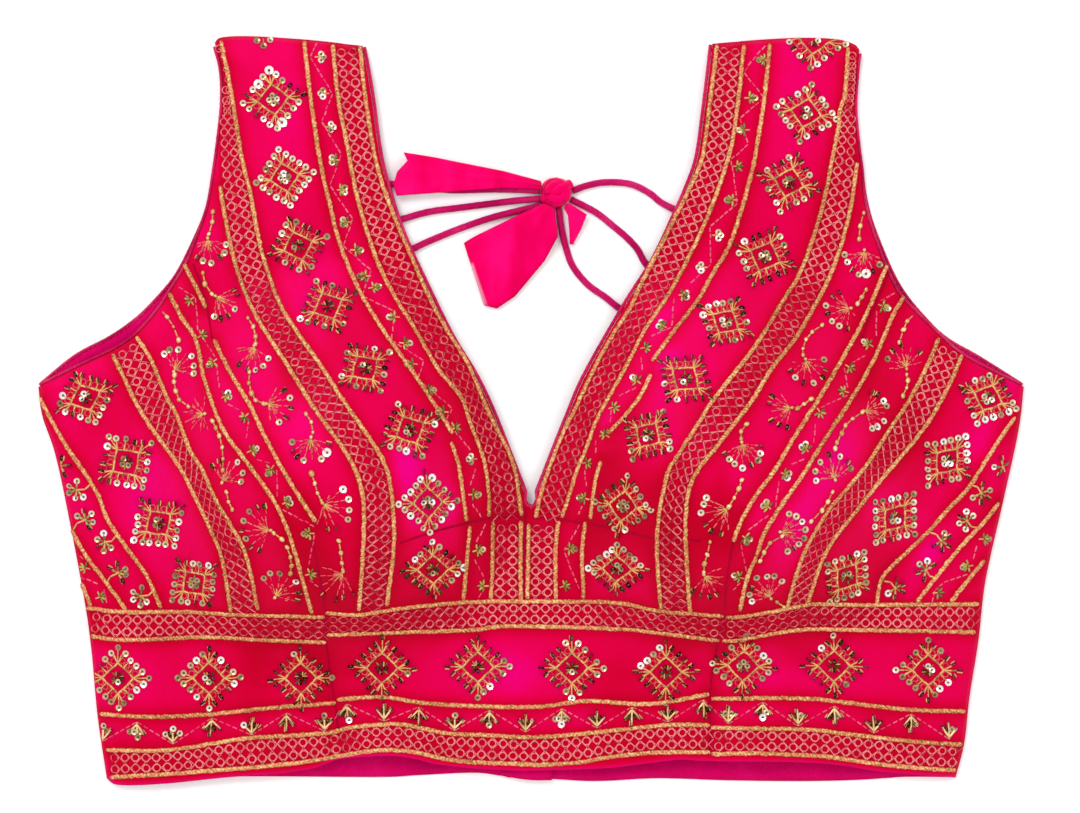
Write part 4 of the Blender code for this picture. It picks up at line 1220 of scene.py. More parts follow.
class Heap:
    """Small pieces gathered in one mesh, each with its own shade."""

    def __init__(self, name, material):
        self.name, self.material = name, material
        self.points, self.faces, self.tones, self.count = [], [], [], 0

    def add(self, shape, points, angles, lift, size, tone, tilt=0.0, roll=0.0, room=EDGE_ROOM):
        """Copies of a shape on the cloth, at the angles; tilt turns them about their own length
        and roll lifts their far end. Those with less room to the cloth's edge are left out."""
        points = np.atleast_2d(points)
        angles, lift, tilt, roll = (
            np.broadcast_to(np.asarray(values, float), len(points))
            for values in (angles, lift, tilt, roll)
        )
        tone = np.reshape(tone, (-1, 1)) if np.ndim(tone) < 2 else tone
        tone = np.broadcast_to(tone, (len(points), len(shape.points)))
        size = np.broadcast_to(np.asarray(size, float), (len(points), 3))
        if room > 0:
            kept = INSIDE.height(points) > room
            points, angles, lift, size, tone, tilt, roll = (
                values[kept] for values in (points, angles, lift, size, tone, tilt, roll)
            )
        total = len(points)
        if not total:
            return
        along, left, up = axes_at(points, angles)
        c, s = np.cos(tilt)[:, None], np.sin(tilt)[:, None]
        left, up = c * left + s * up, c * up - s * left
        c, s = np.cos(roll)[:, None], np.sin(roll)[:, None]
        along, up = c * along + s * up, c * up - s * along
        start = np.column_stack([points, CLOTH_TOP.height(points) + lift])
        local = shape.points[None] * size[:, None]
        axes = np.stack([along, left, up], axis=1)
        placed = start[:, None] + np.einsum("nvk,nkx->nvx", local, axes)
        self.points.append(placed.reshape(-1, 3))
        self.tones.append(tone.ravel())
        for number in range(total):
            base = self.count + number * len(shape.points)
            self.faces += [tuple(base + corner for corner in face) for face in shape.faces]
        self.count += total * len(shape.points)

    def strokes(self, starts, ends, width, tone, yarn):
        """Straight threads between pairs of points."""
        starts, ends = np.atleast_2d(starts), np.atleast_2d(ends)
        step = ends - starts
        size = np.empty((len(step), 3))
        size[:, 0], size[:, 1], size[:, 2] = np.hypot(*step.T), width, yarn.thick
        tone = np.broadcast_to(np.asarray(tone, float), len(step))
        kept = (INSIDE.height(starts) > 0) & (INSIDE.height(ends) > 0)
        middle = (starts + ends) / 2
        self.add(
            STROKE, middle[kept], angle_of(step)[kept], yarn.lift, size[kept], tone[kept], room=0
        )

    def finish(self, smooth_faces=True):
        add_piece(
            self.name, np.vstack(self.points), self.faces, self.material,
            {"tone": np.concatenate(self.tones)}, smooth_faces,
        )


def as_object(name, mesh, values, *materials):
    """An object from a mesh, with its values over the points and its materials."""
    for key, numbers in values.items():
        layer = mesh.attributes.new(key, "FLOAT", "POINT")
        layer.data.foreach_set("value", np.asarray(numbers, np.float32))
    for material in materials:
        mesh.materials.append(material)
    item = bpy.data.objects.new(name, mesh)
    bpy.context.scene.collection.objects.link(item)
    return item


def on_blouse(piece):
    """The piece rides on the blouse."""
    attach(piece, "root")
    return piece


def add_piece(name, points, faces, material, values=None, smooth_faces=True):
    """A piece from points in millimetres."""
    mesh = bpy.data.meshes.new(name)
    mesh.from_pydata((np.asarray(points) * MM).tolist(), [], faces)
    if smooth_faces:
        mesh.shade_smooth()
    return on_blouse(as_object(name, mesh, values or {}, material))


Tube = namedtuple("Tube", "points faces along around")


def tube(route, up, half_width, half_height, sides):
    """A cord along the route: its mesh, and the length and turn at each of its points."""
    tangent = unit(np.gradient(route, axis=0))
    side = unit(np.cross(up, tangent))
    up = np.cross(tangent, side)
    turn = 2 * math.pi * np.arange(sides) / sides - math.pi / 2
    wide = np.broadcast_to(np.asarray(half_width, float), len(route))[:, None, None]
    high = np.broadcast_to(np.asarray(half_height, float), len(route))[:, None, None]
    points = (
        route[:, None]
        + wide * np.cos(turn)[None, :, None] * side[:, None]
        + high * np.sin(turn)[None, :, None] * up[:, None]
    )
    faces = []
    for ring in range(len(route) - 1):
        here, there = ring * sides, (ring + 1) * sides
        for step in range(sides):
            after = (step + 1) % sides
            faces.append((here + step, here + after, there + after, there + step))
    faces.append(tuple(range(sides))[::-1])
    last = (len(route) - 1) * sides
    faces.append(tuple(range(last, last + sides)))
    along = np.repeat(lengths_along(route), sides)
    around = np.tile(turn + math.pi / 2, len(route))
    return Tube(points.reshape(-1, 3), faces, along, around)


def joined(tubes):
    """One mesh of several tubes."""
    faces, count = [], 0
    for part in tubes:
        faces += [tuple(count + corner for corner in face) for face in part.faces]
        count += len(part.points)
    points, _, along, around = zip(*tubes)
    return Tube(np.vstack(points), faces, np.concatenate(along), np.concatenate(around))


# ---------------------------------------------------------------------- view and light


SENSOR = 36
ROOM_LIGHT = 1.06
Lamp = namedtuple("Lamp", "name place size power")
LAMPS = (Lamp("key", (-0.7, 1.0, 1.9), 0.9, 17), Lamp("fill", (1.1, -0.5, 1.8), 1.2, 5))


def make_view():
    camera = bpy.data.objects.new("camera", bpy.data.cameras.new("camera"))
    bpy.context.scene.collection.objects.link(camera)
    camera.location = (FOOT[0] * MM, FOOT[1] * MM, EYE * MM)
    camera.data.sensor_width = SENSOR
    camera.data.lens = SENSOR * EYE / (DRAFT_WIDTH * SQUARE)
    camera.data.dof.use_dof = False
    bpy.context.scene.camera = camera
    bpy.context.scene.view_settings.view_transform = "Standard"


def make_light():
    world = bpy.data.worlds.new("soft room")
    world.use_nodes = True
    background = world.node_tree.nodes["Background"]
    background.inputs["Color"].default_value = (1, 1, 1, 1)
    background.inputs["Strength"].default_value = ROOM_LIGHT
    bpy.context.scene.world = world
    for name, place, size, power in LAMPS:
        lamp = bpy.data.lights.new(name, "AREA")
        lamp.shape = "DISK"
        lamp.size = size
        lamp.energy = power
        item = bpy.data.objects.new(name, lamp)
        bpy.context.scene.collection.objects.link(item)
        item.location = place
        aim = np.array(place) / np.linalg.norm(place)
        item.rotation_euler = (math.acos(aim[2]), 0, math.atan2(aim[0], -aim[1]))


def make_floor():
    f = Finish("pale floor", 0.8, Specular_IOR_Level=0.1)
    f.colour(f.ramp(f.noise(3, 2), (0.3, (0.93, 0.93, 0.935, 1)), (0.7, (0.95, 0.95, 0.955, 1))))
    bpy.ops.mesh.primitive_plane_add(size=4)
    floor = bpy.context.object
    floor.name = "floor"
    floor.data.materials.append(f.material)


# ----------------------------------------------------------------------------------- ties

CORD_SIDES = 12
STRING_STEP = 1.5
STRING_RIPPLE = 0.03


def make_string(name):
    """A satin tie cord from the back neck to the knot."""
    curve = smooth(STRINGS[name])
    route = even(curve, round(lengths_along(curve)[-1] / STRING_STEP))
    route = np.column_stack([route, np.full(len(route), CORD + FLOOR_GAP)])
    route[-1] += KNOT_REACH * unit(route[-1] - route[-2])
    place = np.arange(len(route))
    radius = CORD * (1 + STRING_RIPPLE * np.sin(place * 1.9) * np.sin(place * 0.37))
    skin = tube(route, UP, radius, radius, CORD_SIDES)
    cord = add_piece(f"tie_{name}", skin.points, skin.faces, STRING_CLOTH)
    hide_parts(name)
    float(lengths_along(route)[-1] * MM)


def make_knot():
    """The knot: a low core with turns of the cord laid round it and one across."""
    turns = []
    for radius, z, lean, phase in KNOT_TURNS:
        turn = np.linspace(0, 2 * math.pi * 0.97, 40) + phase  # not quite a whole turn
        reach = radius * (1 + 0.06 * np.sin(3 * turn + phase))
        route = np.column_stack([
            KNOT_X + reach * np.cos(turn), KNOT_Y + reach * np.sin(turn),
            z + lean * np.sin(turn + phase),
        ])
        turns.append(tube(route, UP, 2.2, 2.0, CORD_SIDES))
    across = smooth(((5.6, 102.2), (8.6, 104.2), (12.2, 106.6), (16, 108.6), (19, 110.2)), 6)
    arc = 3.2 + 3.6 * np.sin(math.pi * np.linspace(0, 1, len(across)))
    turns.append(tube(np.column_stack([across, arc]), UP, 2.4, 1.7, CORD_SIDES))
    core = smooth(((7, 106), (12, 106), (17, 106)), 6)
    core = np.column_stack([core, np.full(len(core), 3.4)])
    turns.append(tube(core, UP, 5.2, 3.2, CORD_SIDES))
    whole = joined(turns)
    knot = add_piece("tie_knot", whole.points, whole.faces, TIES)
    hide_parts("knot")
    return knot


def thick_cloth(name, grids, height, wall, materials, values=None):
    """A closed sheet of cloth: grids that share edges, at the height of their upper face. The
    materials are the top's and, if there are two, the underside's."""
    cloth = bmesh.new()
    for grid in grids:
        rows, columns = grid.shape[:2]
        flat = grid.reshape(-1, 2)
        points = np.column_stack([flat, height(flat)]) * MM
        corners = [cloth.verts.new(point) for point in points]
        for row in range(rows - 1):
            for column in range(columns - 1):
                first = row * columns + column
                ring = (first, first + 1, first + columns + 1, first + columns)
                cloth.faces.new([corners[index] for index in ring])
    bmesh.ops.remove_doubles(cloth, verts=cloth.verts, dist=0.01 * MM)
    bmesh.ops.recalc_face_normals(cloth, faces=cloth.faces)
    if sum(face.normal.z for face in cloth.faces) < 0:
        bmesh.ops.reverse_faces(cloth, faces=cloth.faces)
    mesh = bpy.data.meshes.new(name)
    cloth.to_mesh(mesh)
    cloth.free()
    mesh.shade_smooth()
    flat = np.array([corner.co for corner in mesh.vertices])[:, :2] / MM
    values = {key: formula(flat) for key, formula in (values or {}).items()}
    piece = as_object(name, mesh, values, *materials)
    thicken(piece, wall, offset=-1, material_offset=len(materials) - 1)
    return on_blouse(piece)


def turned_edge_highlight(points):
    """1 along the lower tail's turned edge, where a pale highlight is painted."""
    return np.clip(1.5 - distance_to(points, np.array(TAIL_HIGHLIGHT_EDGE)) / TURNED_HIGHLIGHT_WIDTH, 0, 1)


def make_tail(name):
    """A doubled satin tail, crowned across and gently pleated along."""
    sections = TAILS[name]
    rows = 5 * (len(sections) - 1)
    columns = 16
    place = np.linspace(0, len(sections) - 1, rows + 1)
    known = np.arange(len(sections))

    def along(field):
        return np.interp(place, known, [getattr(section, field) for section in sections])

    left = np.column_stack([along("x0"), along("y0")])
    right = np.column_stack([along("x1"), along("y1")])
    share = np.linspace(0, 1, columns + 1)
    grid = (1 - share)[None, :, None] * left[:, None] + share[None, :, None] * right[:, None]
    far = (place / place[-1])[:, None]
    if name == "tail_upper":
        notch = even(np.array(TAIL_NOTCH), columns)
        grid = grid + np.clip(place - place[-1] + 1, 0, 1)[:, None, None] * (notch - grid[-1])
    arch = np.sin(math.pi * share)[None]
    pleat = 0.28 * np.sin(2 * math.pi * (2.4 * share[None] + 0.3 * far)) * (1 - 0.7 * far)
    rise = TAIL_CROWN * arch * (1 - 0.3 * far)
    tops = (along("z")[:, None] + rise + pleat * arch).ravel()
    # the lower tail carries the painted highlight of its turned edge
    values = {"turned": turned_edge_highlight} if name == "tail_lower" else {}
    piece = thick_cloth(
        f"tie_{name}", (grid,), lambda points: tops, TAIL_CLOTH, (TIES,), values
    )
    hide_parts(name)
    return piece


def make_ties():
    """The tails, the knot and the strings."""
    tails = {name: make_tail(name) for name in TAILS}
    knot = make_knot()
    for name in STRINGS:
        make_string(name)


# ---------------------------------------------------------------------------------- cloth

CORNERS = np.array(((1, 0), (0, 1), (-1, 0), (0, -1)))  # right, far, left and near tip
# The red ground: its share of a diamond, and how red it is there
GROUND_SHARE = 0.92
DIAMOND_GROUND = 0.7
# The satin's tone where it lies flat, and how much painted shade and sheen it gets with the
# slope; and how much painted shade, darker over how many millimetres, it gets beside the
# darts' seams and the gold cords
TONE_FLAT = 0.52
SLOPE_PAINTED_SHADE = 0.52
SEAM_SHADE, SEAM_REACH = 0.25, 5
CORD_SHADE, CORD_REACH = 0.42, 4.2


def gold_route(name, spacing=1.0):
    """A gold line's points across the cloth."""
    rows = GOLD.get(name) or BARE[name]
    curve = plan(smooth(rows, 6))
    return even(curve, max(2, round(lengths_along(curve)[-1] / spacing)))


def joined_route(names, spacing=1.0):
    return np.vstack([gold_route(name, spacing) for name in names])


def diamond_points(diamond, shares):
    """Points that are given in the diamond's own frame."""
    centre = plan((diamond.u, diamond.v))
    turn = math.radians(diamond.turn)
    return centre + rotated(np.atleast_2d(np.array(shares, float)).T, turn).T


def red_ground(points):
    """1 where red cloth lies under the ring lace, and less inside the diamonds."""
    ground = np.zeros(len(points))
    for lace in LACES:
        left, right = joined_route(lace.left, 4), joined_route(lace.right, 4)
        ground[within(points, np.vstack([left, right[::-1]]))] = 1
    for diamond in DIAMONDS:
        tips = CORNERS * (GROUND_SHARE * diamond.wide, GROUND_SHARE * diamond.high)
        ground[within(points, diamond_points(diamond, tips))] = DIAMOND_GROUND
    return ground


def painted_satin_shade(points):
    """How far the satin's painted shade and sheen take it from red, 0, to magenta, 1."""
    up = CLOTH_TOP.up(points)
    # painted shade and sheen: slopes that face the key lamp's side are more magenta, the others
    # redder
    tone = TONE_FLAT + SLOPE_PAINTED_SHADE * (-0.6 * up[:, 0] + 0.8 * up[:, 1])
    # patches of painted sheen and shade
    for soft in SHEEN_AND_SHADE_PATCHES:
        centre = plan((soft.u, soft.v))[0]
        away = ((points - centre) / (np.array([soft.across, soft.along]) * SQUARE)) ** 2
        tone += soft.amount * np.exp(-away.sum(1))
    # painted crease shade beside the darts' seams
    for seam in SEAMS_SEWN:
        tone -= SEAM_SHADE * np.exp(-distance_to(points, plan(seam)) / SEAM_REACH)
    # painted shade beside the raised gold cords
    cords = np.vstack([gold_route(name) for name in GOLD])
    tree = KDTree(len(cords))
    for number, point in enumerate(cords):
        tree.insert((*point, 0), number)
    tree.balance()
    away = np.array([tree.find((*point, 0))[2] for point in points])
    tone -= CORD_SHADE * np.exp(-((away / CORD_REACH) ** 2))
    # painted highlight: the satin more magenta along the fold of the hem
    for hem, *_ in HALVES:
        sheen = HEM_PAINTED_SHEEN * np.exp(-((distance_to(points, hem) / HEM_HIGHLIGHT_WIDTH) ** 2))
        tone = np.maximum(tone, sheen)
    return np.clip(tone, 0, 1)


def make_front():
    grids = []
    for hem, side, bust, shoulder, armhole, neck in HALVES:
        grids.append(patch(hem, bust, side, MIDDLE))
        grids.append(patch(bust, shoulder, armhole, neck))
    front = thick_cloth(
        "front_cloth", grids, front_top, CLOTH, (SATIN, LINING),
        {"tone": painted_satin_shade, "ground": red_ground},
    )
    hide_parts("front")


def lay_piping(name, line, radius, *nodes):
    """Corded piping along a line, with the small ripples of its stitching."""
    wave = np.cos(2 * math.pi * np.arange(len(line)) / RIPPLE_LENGTH)
    ripple = radius * (1 - RIPPLE * (1 + wave))
    skin = tube(line, UP, ripple, ripple, PIPING_SIDES)
    piece = add_piece(name, skin.points, skin.faces, PIPING_CLOTH)
    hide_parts(*nodes)


def pipe_edge(name, edge, out, height, node, lowest):
    """Piping along a panel's cut edge, on the side that out names."""
    middle = beside(edge, out * (PIPING_SEEN + PIPING_GAP))
    line = np.column_stack([middle, np.maximum(height(edge) - CLOTH / 2, lowest)])
    total = lengths_along(line)[-1]
    wanted = np.linspace(PIPING_END / 2, total - PIPING_END, round(total / PIPING_STEP))
    lay_piping(name, at_lengths(line, wanted), PIPING_SEEN, node)


def pipe_neck(neck_left, neck_right):
    """One piping cord down the left of the neck, round its point and up the right."""
    legs = []
    for edge, out in ((neck_left, -1), (neck_right, 1)):
        line = beside(edge, out * (PIPING + PIPING_GAP))
        legs.append(line[line[:, 1] > NECK_LEGS_END])
    left, right = legs[0][::-1], legs[1]
    turn = smooth((left[-1], *NECK_TURN, right[0]), 8)
    middle = np.vstack([left[:-1], turn, right[1:]])
    middle = even(middle, round(lengths_along(middle)[-1]) - 1)
    z = np.maximum(front_top(middle) - CLOTH / 2, FRONT_PIPING_Z)
    line = np.column_stack([middle, z])
    lay_piping("neck_cord", line, PIPING, "neck_piping_left", "neck_piping_right")


def lap_height(points):
    """Height of the left back's upper face, which climbs on to the lap at the centre."""
    share = np.clip((points[:, 0] - LAP_START) / (LAP_END - LAP_START), 0, 1)
    return CLOTH + LAP_RISE * share * share * (3 - 2 * share)


def flat_height(points):
    return np.full(len(points), CLOTH)


def make_back(name, sign, tables, height):
    """Half of the back; sign is 1 for the left half and -1 for the right."""
    hem, side, armhole, shoulder, neck, scoop = tables
    armhole = beside(smooth(armhole), sign * INSET)
    turn = len(smooth(neck)) - 1
    inner = beside(np.vstack([smooth(neck)[:-1], smooth(scoop)]), -sign * INSET)
    side = even(smooth((armhole[-1], *side[1:]))[::-1], BACK_ROWS_LOW)
    shoulder = even(smooth((armhole[0], *shoulder[1:-1], inner[0])), BACK_COLUMNS)
    hem = even(smooth(hem), BACK_COLUMNS + LAP_COLUMNS)
    bust = even(np.array([armhole[-1], inner[turn]]), BACK_COLUMNS)
    centre = even(np.array([hem[-1], inner[-1]]), BACK_ROWS_LOW)
    armhole = even(armhole[::-1], BACK_ROWS_HIGH)
    neck = even(inner[turn::-1], BACK_ROWS_HIGH)
    scoop = even(inner[turn:], LAP_COLUMNS)
    grids = (
        patch(hem, np.vstack([bust[:-1], scoop]), side, centre),
        patch(bust, shoulder, armhole, neck),
    )
    cloth = thick_cloth(f"back_cloth_{name}", grids, height, CLOTH, (LINING,))
    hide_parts(f"back_{name}")
    whole_neck = np.vstack([scoop[:0:-1], neck])
    for part, edge, out in (("armhole", armhole, sign), ("neck", whole_neck, -sign)):
        pipe_edge(
            f"{part}_cord_back_{name}", edge, out, height, f"back_{part}_piping_{name}",
            BACK_PIPING_Z,
        )


def make_cloth():
    left = (
        BACK_HEM_LEFT, SIDE_LEFT, BACK_ARMHOLE_LEFT, SHOULDER_LEFT, BACK_NECK_LEFT,
        BACK_SCOOP_LEFT,
    )
    right = (
        BACK_HEM_RIGHT, SIDE_RIGHT, BACK_ARMHOLE_RIGHT, SHOULDER_RIGHT,
        BACK_NECK_RIGHT, BACK_SCOOP_RIGHT,
    )
    make_back("left", 1, left, lap_height)
    make_back("right", -1, right, flat_height)
    make_front()
    for side, edge, out in (("left", ARM_A, 1), ("right", ARM_B, -1)):
        pipe_edge(
            f"armhole_cord_{side}", edge, out, front_top, f"armhole_piping_{side}",
            FRONT_PIPING_Z,
        )
    pipe_neck(NECK_A, NECK_B)


# ----------------------------------------------------------------------------- embroidery

GOLD_WIDE, GOLD_HIGH = 1.04, 0.55  # half the gold cord's width and height
GOLD_STEP, GOLD_LIFT, GOLD_SIDES = 1.1, 0.35, 8
TWIST = 2 * math.pi / 1.7  # turn of its threads a millimetre
# the strip of painted crease shade along each dart's seam
SEAM_WIDE, SEAM_HIGH = 0.5, 0.22
SEAM_STEP, SEAM_LIFT, SEAM_SIDES = 2, 0.05, 6
LEVEL = 0.16  # a thread this much off level has lost most of its painted shine

# Ring lace: rings a pitch apart, in two rows that lie to each side of the band's middle. The
# rows draw together where the band narrows, and one row is left where it is thin.
LACE_STATIONS = 240
LACE_PITCH = 5.15
LACE_OFFSET = 2.62
LACE_ENDS = 1.5  # left free at the band's two ends
LACE_PROBE = 0.7
LACE_FULL = 6.15  # half the width of a band that the offset is right for
LACE_DRAW = (0.72, 1.2)
LACE_THIN = 4.0
LACE_EDGE = 0.9  # kept between a thread and the gold cord

# Diamonds: where their sequins and loops lie along each side, and lengths
SIDE_SHARES = (0, 0.2, 0.4, 0.6, 0.8)
LOOP_SHARES = (0.08, 0.36, 0.64, 0.92)
LOOP_OUT = 2.1
FORK_TURN, FORK_LENGTH = 0.45, 4.4
SPOKE_END = 0.86  # share of the way to its sequin
SIDE_BOW = 0.3
HEART_REACH, CORNER_REACH = 1.9, 2.6
LOOP_SIZE = (0.78, 0.78, 0.7)

# Fans: the stitches of their spokes, as shares of the reach, and the gold ones at their foot
SPOKE_PARTS = ((0.12, 0.36), (0.4, 0.6), (0.65, 0.88))
FOOT_STITCHES = ((-0.8, 2.2), (-0.4, 3.4), (0.0, 5.2), (0.4, 3.4), (0.8, 2.2))
HEART_STITCHES = 12

PINK_PITCH, HEM_PITCH = 3.2, 3.4
LOTUS_TURNS = (-40, -21, 0, 21, 40)
LOTUS_REACH = np.array(((6.2,), (4.9,), (7.8,), (4.9,), (6.2,)))
LOTUS_PETALS = [0, 2, 4]
PETAL_TURNS = (-88, -44, 0, 44, 88)
FLOWER_TURNS = {1: (0,), 2: (-50, 50), 3: (-80, 0, 80)}

# Sequins: how high over the cloth their middle is, and how far beside one its painted highlight
# stroke lies
STANDING, LYING = 1.2, 0.55
HIGHLIGHT_STROKE_BESIDE = 0.85
KNOT_SIZE = (1.15, 1.15, 0.7)
# Their sizes by look, S drawn larger as a painted glint, and by where they are sewn
LOOK_SIZES = {"W": 1.12, "S": 1.42}
AT_DIAMOND = AT_FAN = 0.94
AT_HEART = 0.86
AT_FLOWER = 0.89
AT_SPRIG = AT_LOTUS = 0.9


def make_gold_lines():
    """Couched gold cord, in one mesh."""
    cords = []
    for name in GOLD:
        route = gold_route(name, GOLD_STEP)
        route = route + rng.normal(0, 0.1, route.shape)
        line = np.column_stack([route, CLOTH_TOP.height(route) + GOLD_LIFT])
        from_end = np.minimum(np.arange(len(line)), np.arange(len(line))[::-1])
        full = np.clip(0.6 + 0.4 * from_end, 0, 1) * rng.normal(1, 0.08, len(line))
        wide, high = GOLD_WIDE * full, GOLD_HIGH * full
        cords.append(tube(line, CLOTH_TOP.up(route), wide, high, GOLD_SIDES))
    whole = joined(cords)
    add_piece(
        "gold_lines", whole.points, whole.faces, ZARI,
        {"along": whole.along * TWIST, "around": whole.around},
    )


def make_dart_crease_shade():
    # a fine dark strip along each dart's seam: painted crease shade
    seams = []
    for seam in SEAMS_SEWN:
        curve = plan(smooth(seam, 6))
        route = even(curve, round(lengths_along(curve)[-1] / SEAM_STEP))
        line = np.column_stack([route, CLOTH_TOP.height(route) + SEAM_LIFT])
        seams.append(tube(line, CLOTH_TOP.up(route), SEAM_WIDE, SEAM_HIGH, SEAM_SIDES))
    whole = joined(seams)
    add_piece("dart_crease_shade", whole.points, whole.faces, DART_CREASE_SHADE)


def shine(points, angles):
    """Painted shine of a thread: 1 where it lies level, and less the more it climbs the slope it
    lies on.
    """
    up = CLOTH_TOP.up(points)
    climb = np.cos(angles) * up[:, :1] + np.sin(angles) * up[:, 1:2]
    return np.exp(-((climb / LEVEL) ** 2))


def make_ring_lace():
    """Two rows of rings between a band's gold lines, joined by short threads."""
    rings = Heap("ring_lace", LACE)
    threads = Heap("ring_lace_threads", LACE)
    around = angle_of(RING.points)
    for lace in LACES:
        left, right = (even(joined_route(names), LACE_STATIONS) for names in lace)
        middle, half = (left + right) / 2, (right - left) / 2
        along = lengths_along(middle)
        length = along[-1] - LACE_ENDS
        steps = max(1, round(length / LACE_PITCH))
        pitch = length / steps
        wanted = LACE_ENDS / 2 + (np.arange(steps) + 0.5) * length / steps
        centre = at_lengths(middle, wanted)
        ahead = at_lengths(middle, wanted + LACE_PROBE)
        tangent = unit(ahead - at_lengths(middle, wanted - LACE_PROBE))
        side = np.column_stack([tangent[:, 1], -tangent[:, 0]])
        to_edge = np.column_stack([np.interp(wanted, along, axis) for axis in half.T])
        wide = np.abs((to_edge * side).sum(1))
        reach = LACE_OFFSET * np.clip(wide / LACE_FULL, *LACE_DRAW)
        double = wide > LACE_THIN
        for row in (-1, 1):
            keep = double | (row == 1)
            offset = row * np.where(double, reach, 0)
            at = centre[keep] + offset[keep, None] * side[keep]
            jitter = rng.normal(0, 0.08, (len(at), 2))
            turned = angle_of(tangent[keep]) + rng.normal(0, 0.2, len(at))
            # ring tones: painted shine, with random tone
            lit = shine(at, turned[:, None] + around + math.pi / 2)
            tone = 0.1 + 0.8 * lit + rng.normal(0, 0.2, (len(at), 1))
            tone = tone + rng.normal(0, 0.2, lit.shape)
            size = rng.normal(1, 0.03, (len(at), 1)) * (1, 1, 0.9)
            rings.add(RING, at + jitter, turned, lift=0.2, size=size, tone=tone)
        for row in (-1, 1):
            # a cross on each row between its rings, whose arms bound the diamonds
            start = centre + row * reach[:, None] * side + pitch / 2 * tangent
            start = start + rng.normal(0, 0.12, start.shape)
            for forward in (-1, 1):
                for across in (-1, 1):
                    far = np.minimum(wide - LACE_EDGE - reach, reach) if across == row else reach
                    step = forward * 0.47 * pitch * np.abs(far) / reach
                    end = start + step[:, None] * tangent
                    end = end + (0.94 * across * far)[:, None] * side
                    # thread tones: painted shine, with random tone
                    lit = shine(start, angle_of(end - start)[:, None])[:, 0]
                    tone = 0.05 + 0.8 * lit + rng.normal(0, 0.3, len(start))
                    threads.strokes(start, end, 0.5, tone, LACE_YARN)
    rings.finish()
    threads.finish()


def sew_sequins(heaps, points, angles, looks, size):
    """Sequins that lie as their letters say, in shades of painted reflection, each with the small
    dark knot that holds it, and a painted highlight stroke beside most of those that stand."""
    count = len(looks)
    letters = np.array(list(looks))
    stands, there = letters == "d", letters != "t"
    sign = np.where(rng.uniform(0, 1, count) < 0.5, -1, 1)
    tilt = np.where(stands, sign * rng.uniform(1.0, 1.3, count), rng.normal(0, 0.14, count))
    # painted reflection: W and S nearly white glints, b bright, g dull, d dark as it stands
    tone = rng.uniform(0.6, 0.86, count)
    tone = np.where(np.isin(letters, list(LOOK_SIZES)), 1.0, tone)
    tone = np.where(letters == "g", rng.uniform(0.36, 0.6, count), tone)
    tone = np.where(stands, rng.uniform(0, 0.3, count), tone)
    sizes = np.array([LOOK_SIZES.get(letter, 1.0) for letter in looks])
    sizes = (sizes * rng.normal(1, 0.03, count) * size)[:, None] * (1, 1, 1)
    lift = np.where(stands, STANDING, LYING)
    roll = rng.normal(0.04, 0.06, count)
    at, turned, lift, tilt, roll = (
        values[there] for values in (points, angles, lift, tilt, roll)
    )
    heaps["sequins"].add(DISC, at, turned, lift, sizes[there], tone[there], tilt, roll)
    shades = rng.uniform(0, 1, len(at))
    heaps["knots"].add(DOT, at, turned, lift - 0.1, KNOT_SIZE, shades, tilt, roll)
    # a painted highlight stroke of gold thread beside most standing sequins
    highlighted = stands & (rng.uniform(0, 1, count) < 0.8)
    along = headings(angles[highlighted])
    side = np.column_stack([-along[:, 1], along[:, 0]])
    middle = points[highlighted] + side * rng.choice((-HIGHLIGHT_STROKE_BESIDE, HIGHLIGHT_STROKE_BESIDE), (len(along), 1))
    half = rng.uniform(1.0, 1.5, (len(along), 1)) * size * along
    shades = rng.uniform(0.2, 1.4, len(along))
    heaps["gold"].strokes(middle - half, middle + half, 0.75, shades, HIGHLIGHT_STROKE)


def make_diamond_side(heaps, diamond, side):
    """A side of a diamond: its spokes and sequins, the fork at its first tip, the loops
    between the spokes and the side of the gold square in the middle."""
    gold = heaps["gold"]
    tips = CORNERS * (diamond.wide, diamond.high)
    tip, after = tips[side], tips[(side + 1) % 4]
    near, far = 0.5 * tip, 0.5 * after
    step = unit(far - near)
    out = np.array([step[1], -step[0]])
    length = np.linalg.norm(far - near)

    places = np.array([tip + share * (after - tip) for share in SIDE_SHARES])
    places = places + rng.normal(0, 0.25, places.shape)
    feet = [near + np.clip((place - near) @ step, 0, length) * step for place in places]
    at, foot = diamond_points(diamond, places), diamond_points(diamond, feet)
    count = len(places)
    ahead = places + np.vstack([unit(tip), *[out] * (count - 1)])
    angles = angle_of(diamond_points(diamond, ahead) - at) + rng.normal(0, 0.12, count)
    looks = diamond.looks[count * side : count * (side + 1)]
    sew_sequins(heaps, at, angles, looks, AT_DIAMOND)
    half = foot + 0.5 * (at - foot) + rng.normal(0, 0.15, at.shape)
    gold.strokes(foot, half, rng.uniform(0.6, 0.8, count), rng.uniform(0.4, 1.1, count), SPOKE)
    gold.strokes(
        half, foot + SPOKE_END * (at - foot), rng.uniform(0.55, 0.75, count),
        rng.uniform(0.1, 1, count), FINE_SPOKE,
    )
    for turn in (-FORK_TURN, FORK_TURN):
        fork = near + FORK_LENGTH * rotated(unit(tip), turn)
        ends = diamond_points(diamond, [near * 0.96, fork])
        gold.strokes(ends[:1], ends[1:], 0.65, rng.uniform(0.4, 1), FINE_SPOKE)
    for share in LOOP_SHARES:
        loop = diamond_points(diamond, [near + share * length * step + LOOP_OUT * out])
        heaps["red"].add(
            RING, loop, rng.uniform(0, 3), lift=0.22, size=LOOP_SIZE,
            tone=rng.uniform(0.1, 0.7),
        )
    shares = np.linspace(0, 1, 5)[:, None]
    line = near + shares * (far - near) + SIDE_BOW * np.sin(shares * math.pi) * out
    line = diamond_points(diamond, line + rng.normal(0, 0.1, line.shape))
    gold.strokes(line[:-1], line[1:], 1.0, rng.uniform(0.1, 1.1, 4), OUTLINE_YARN)


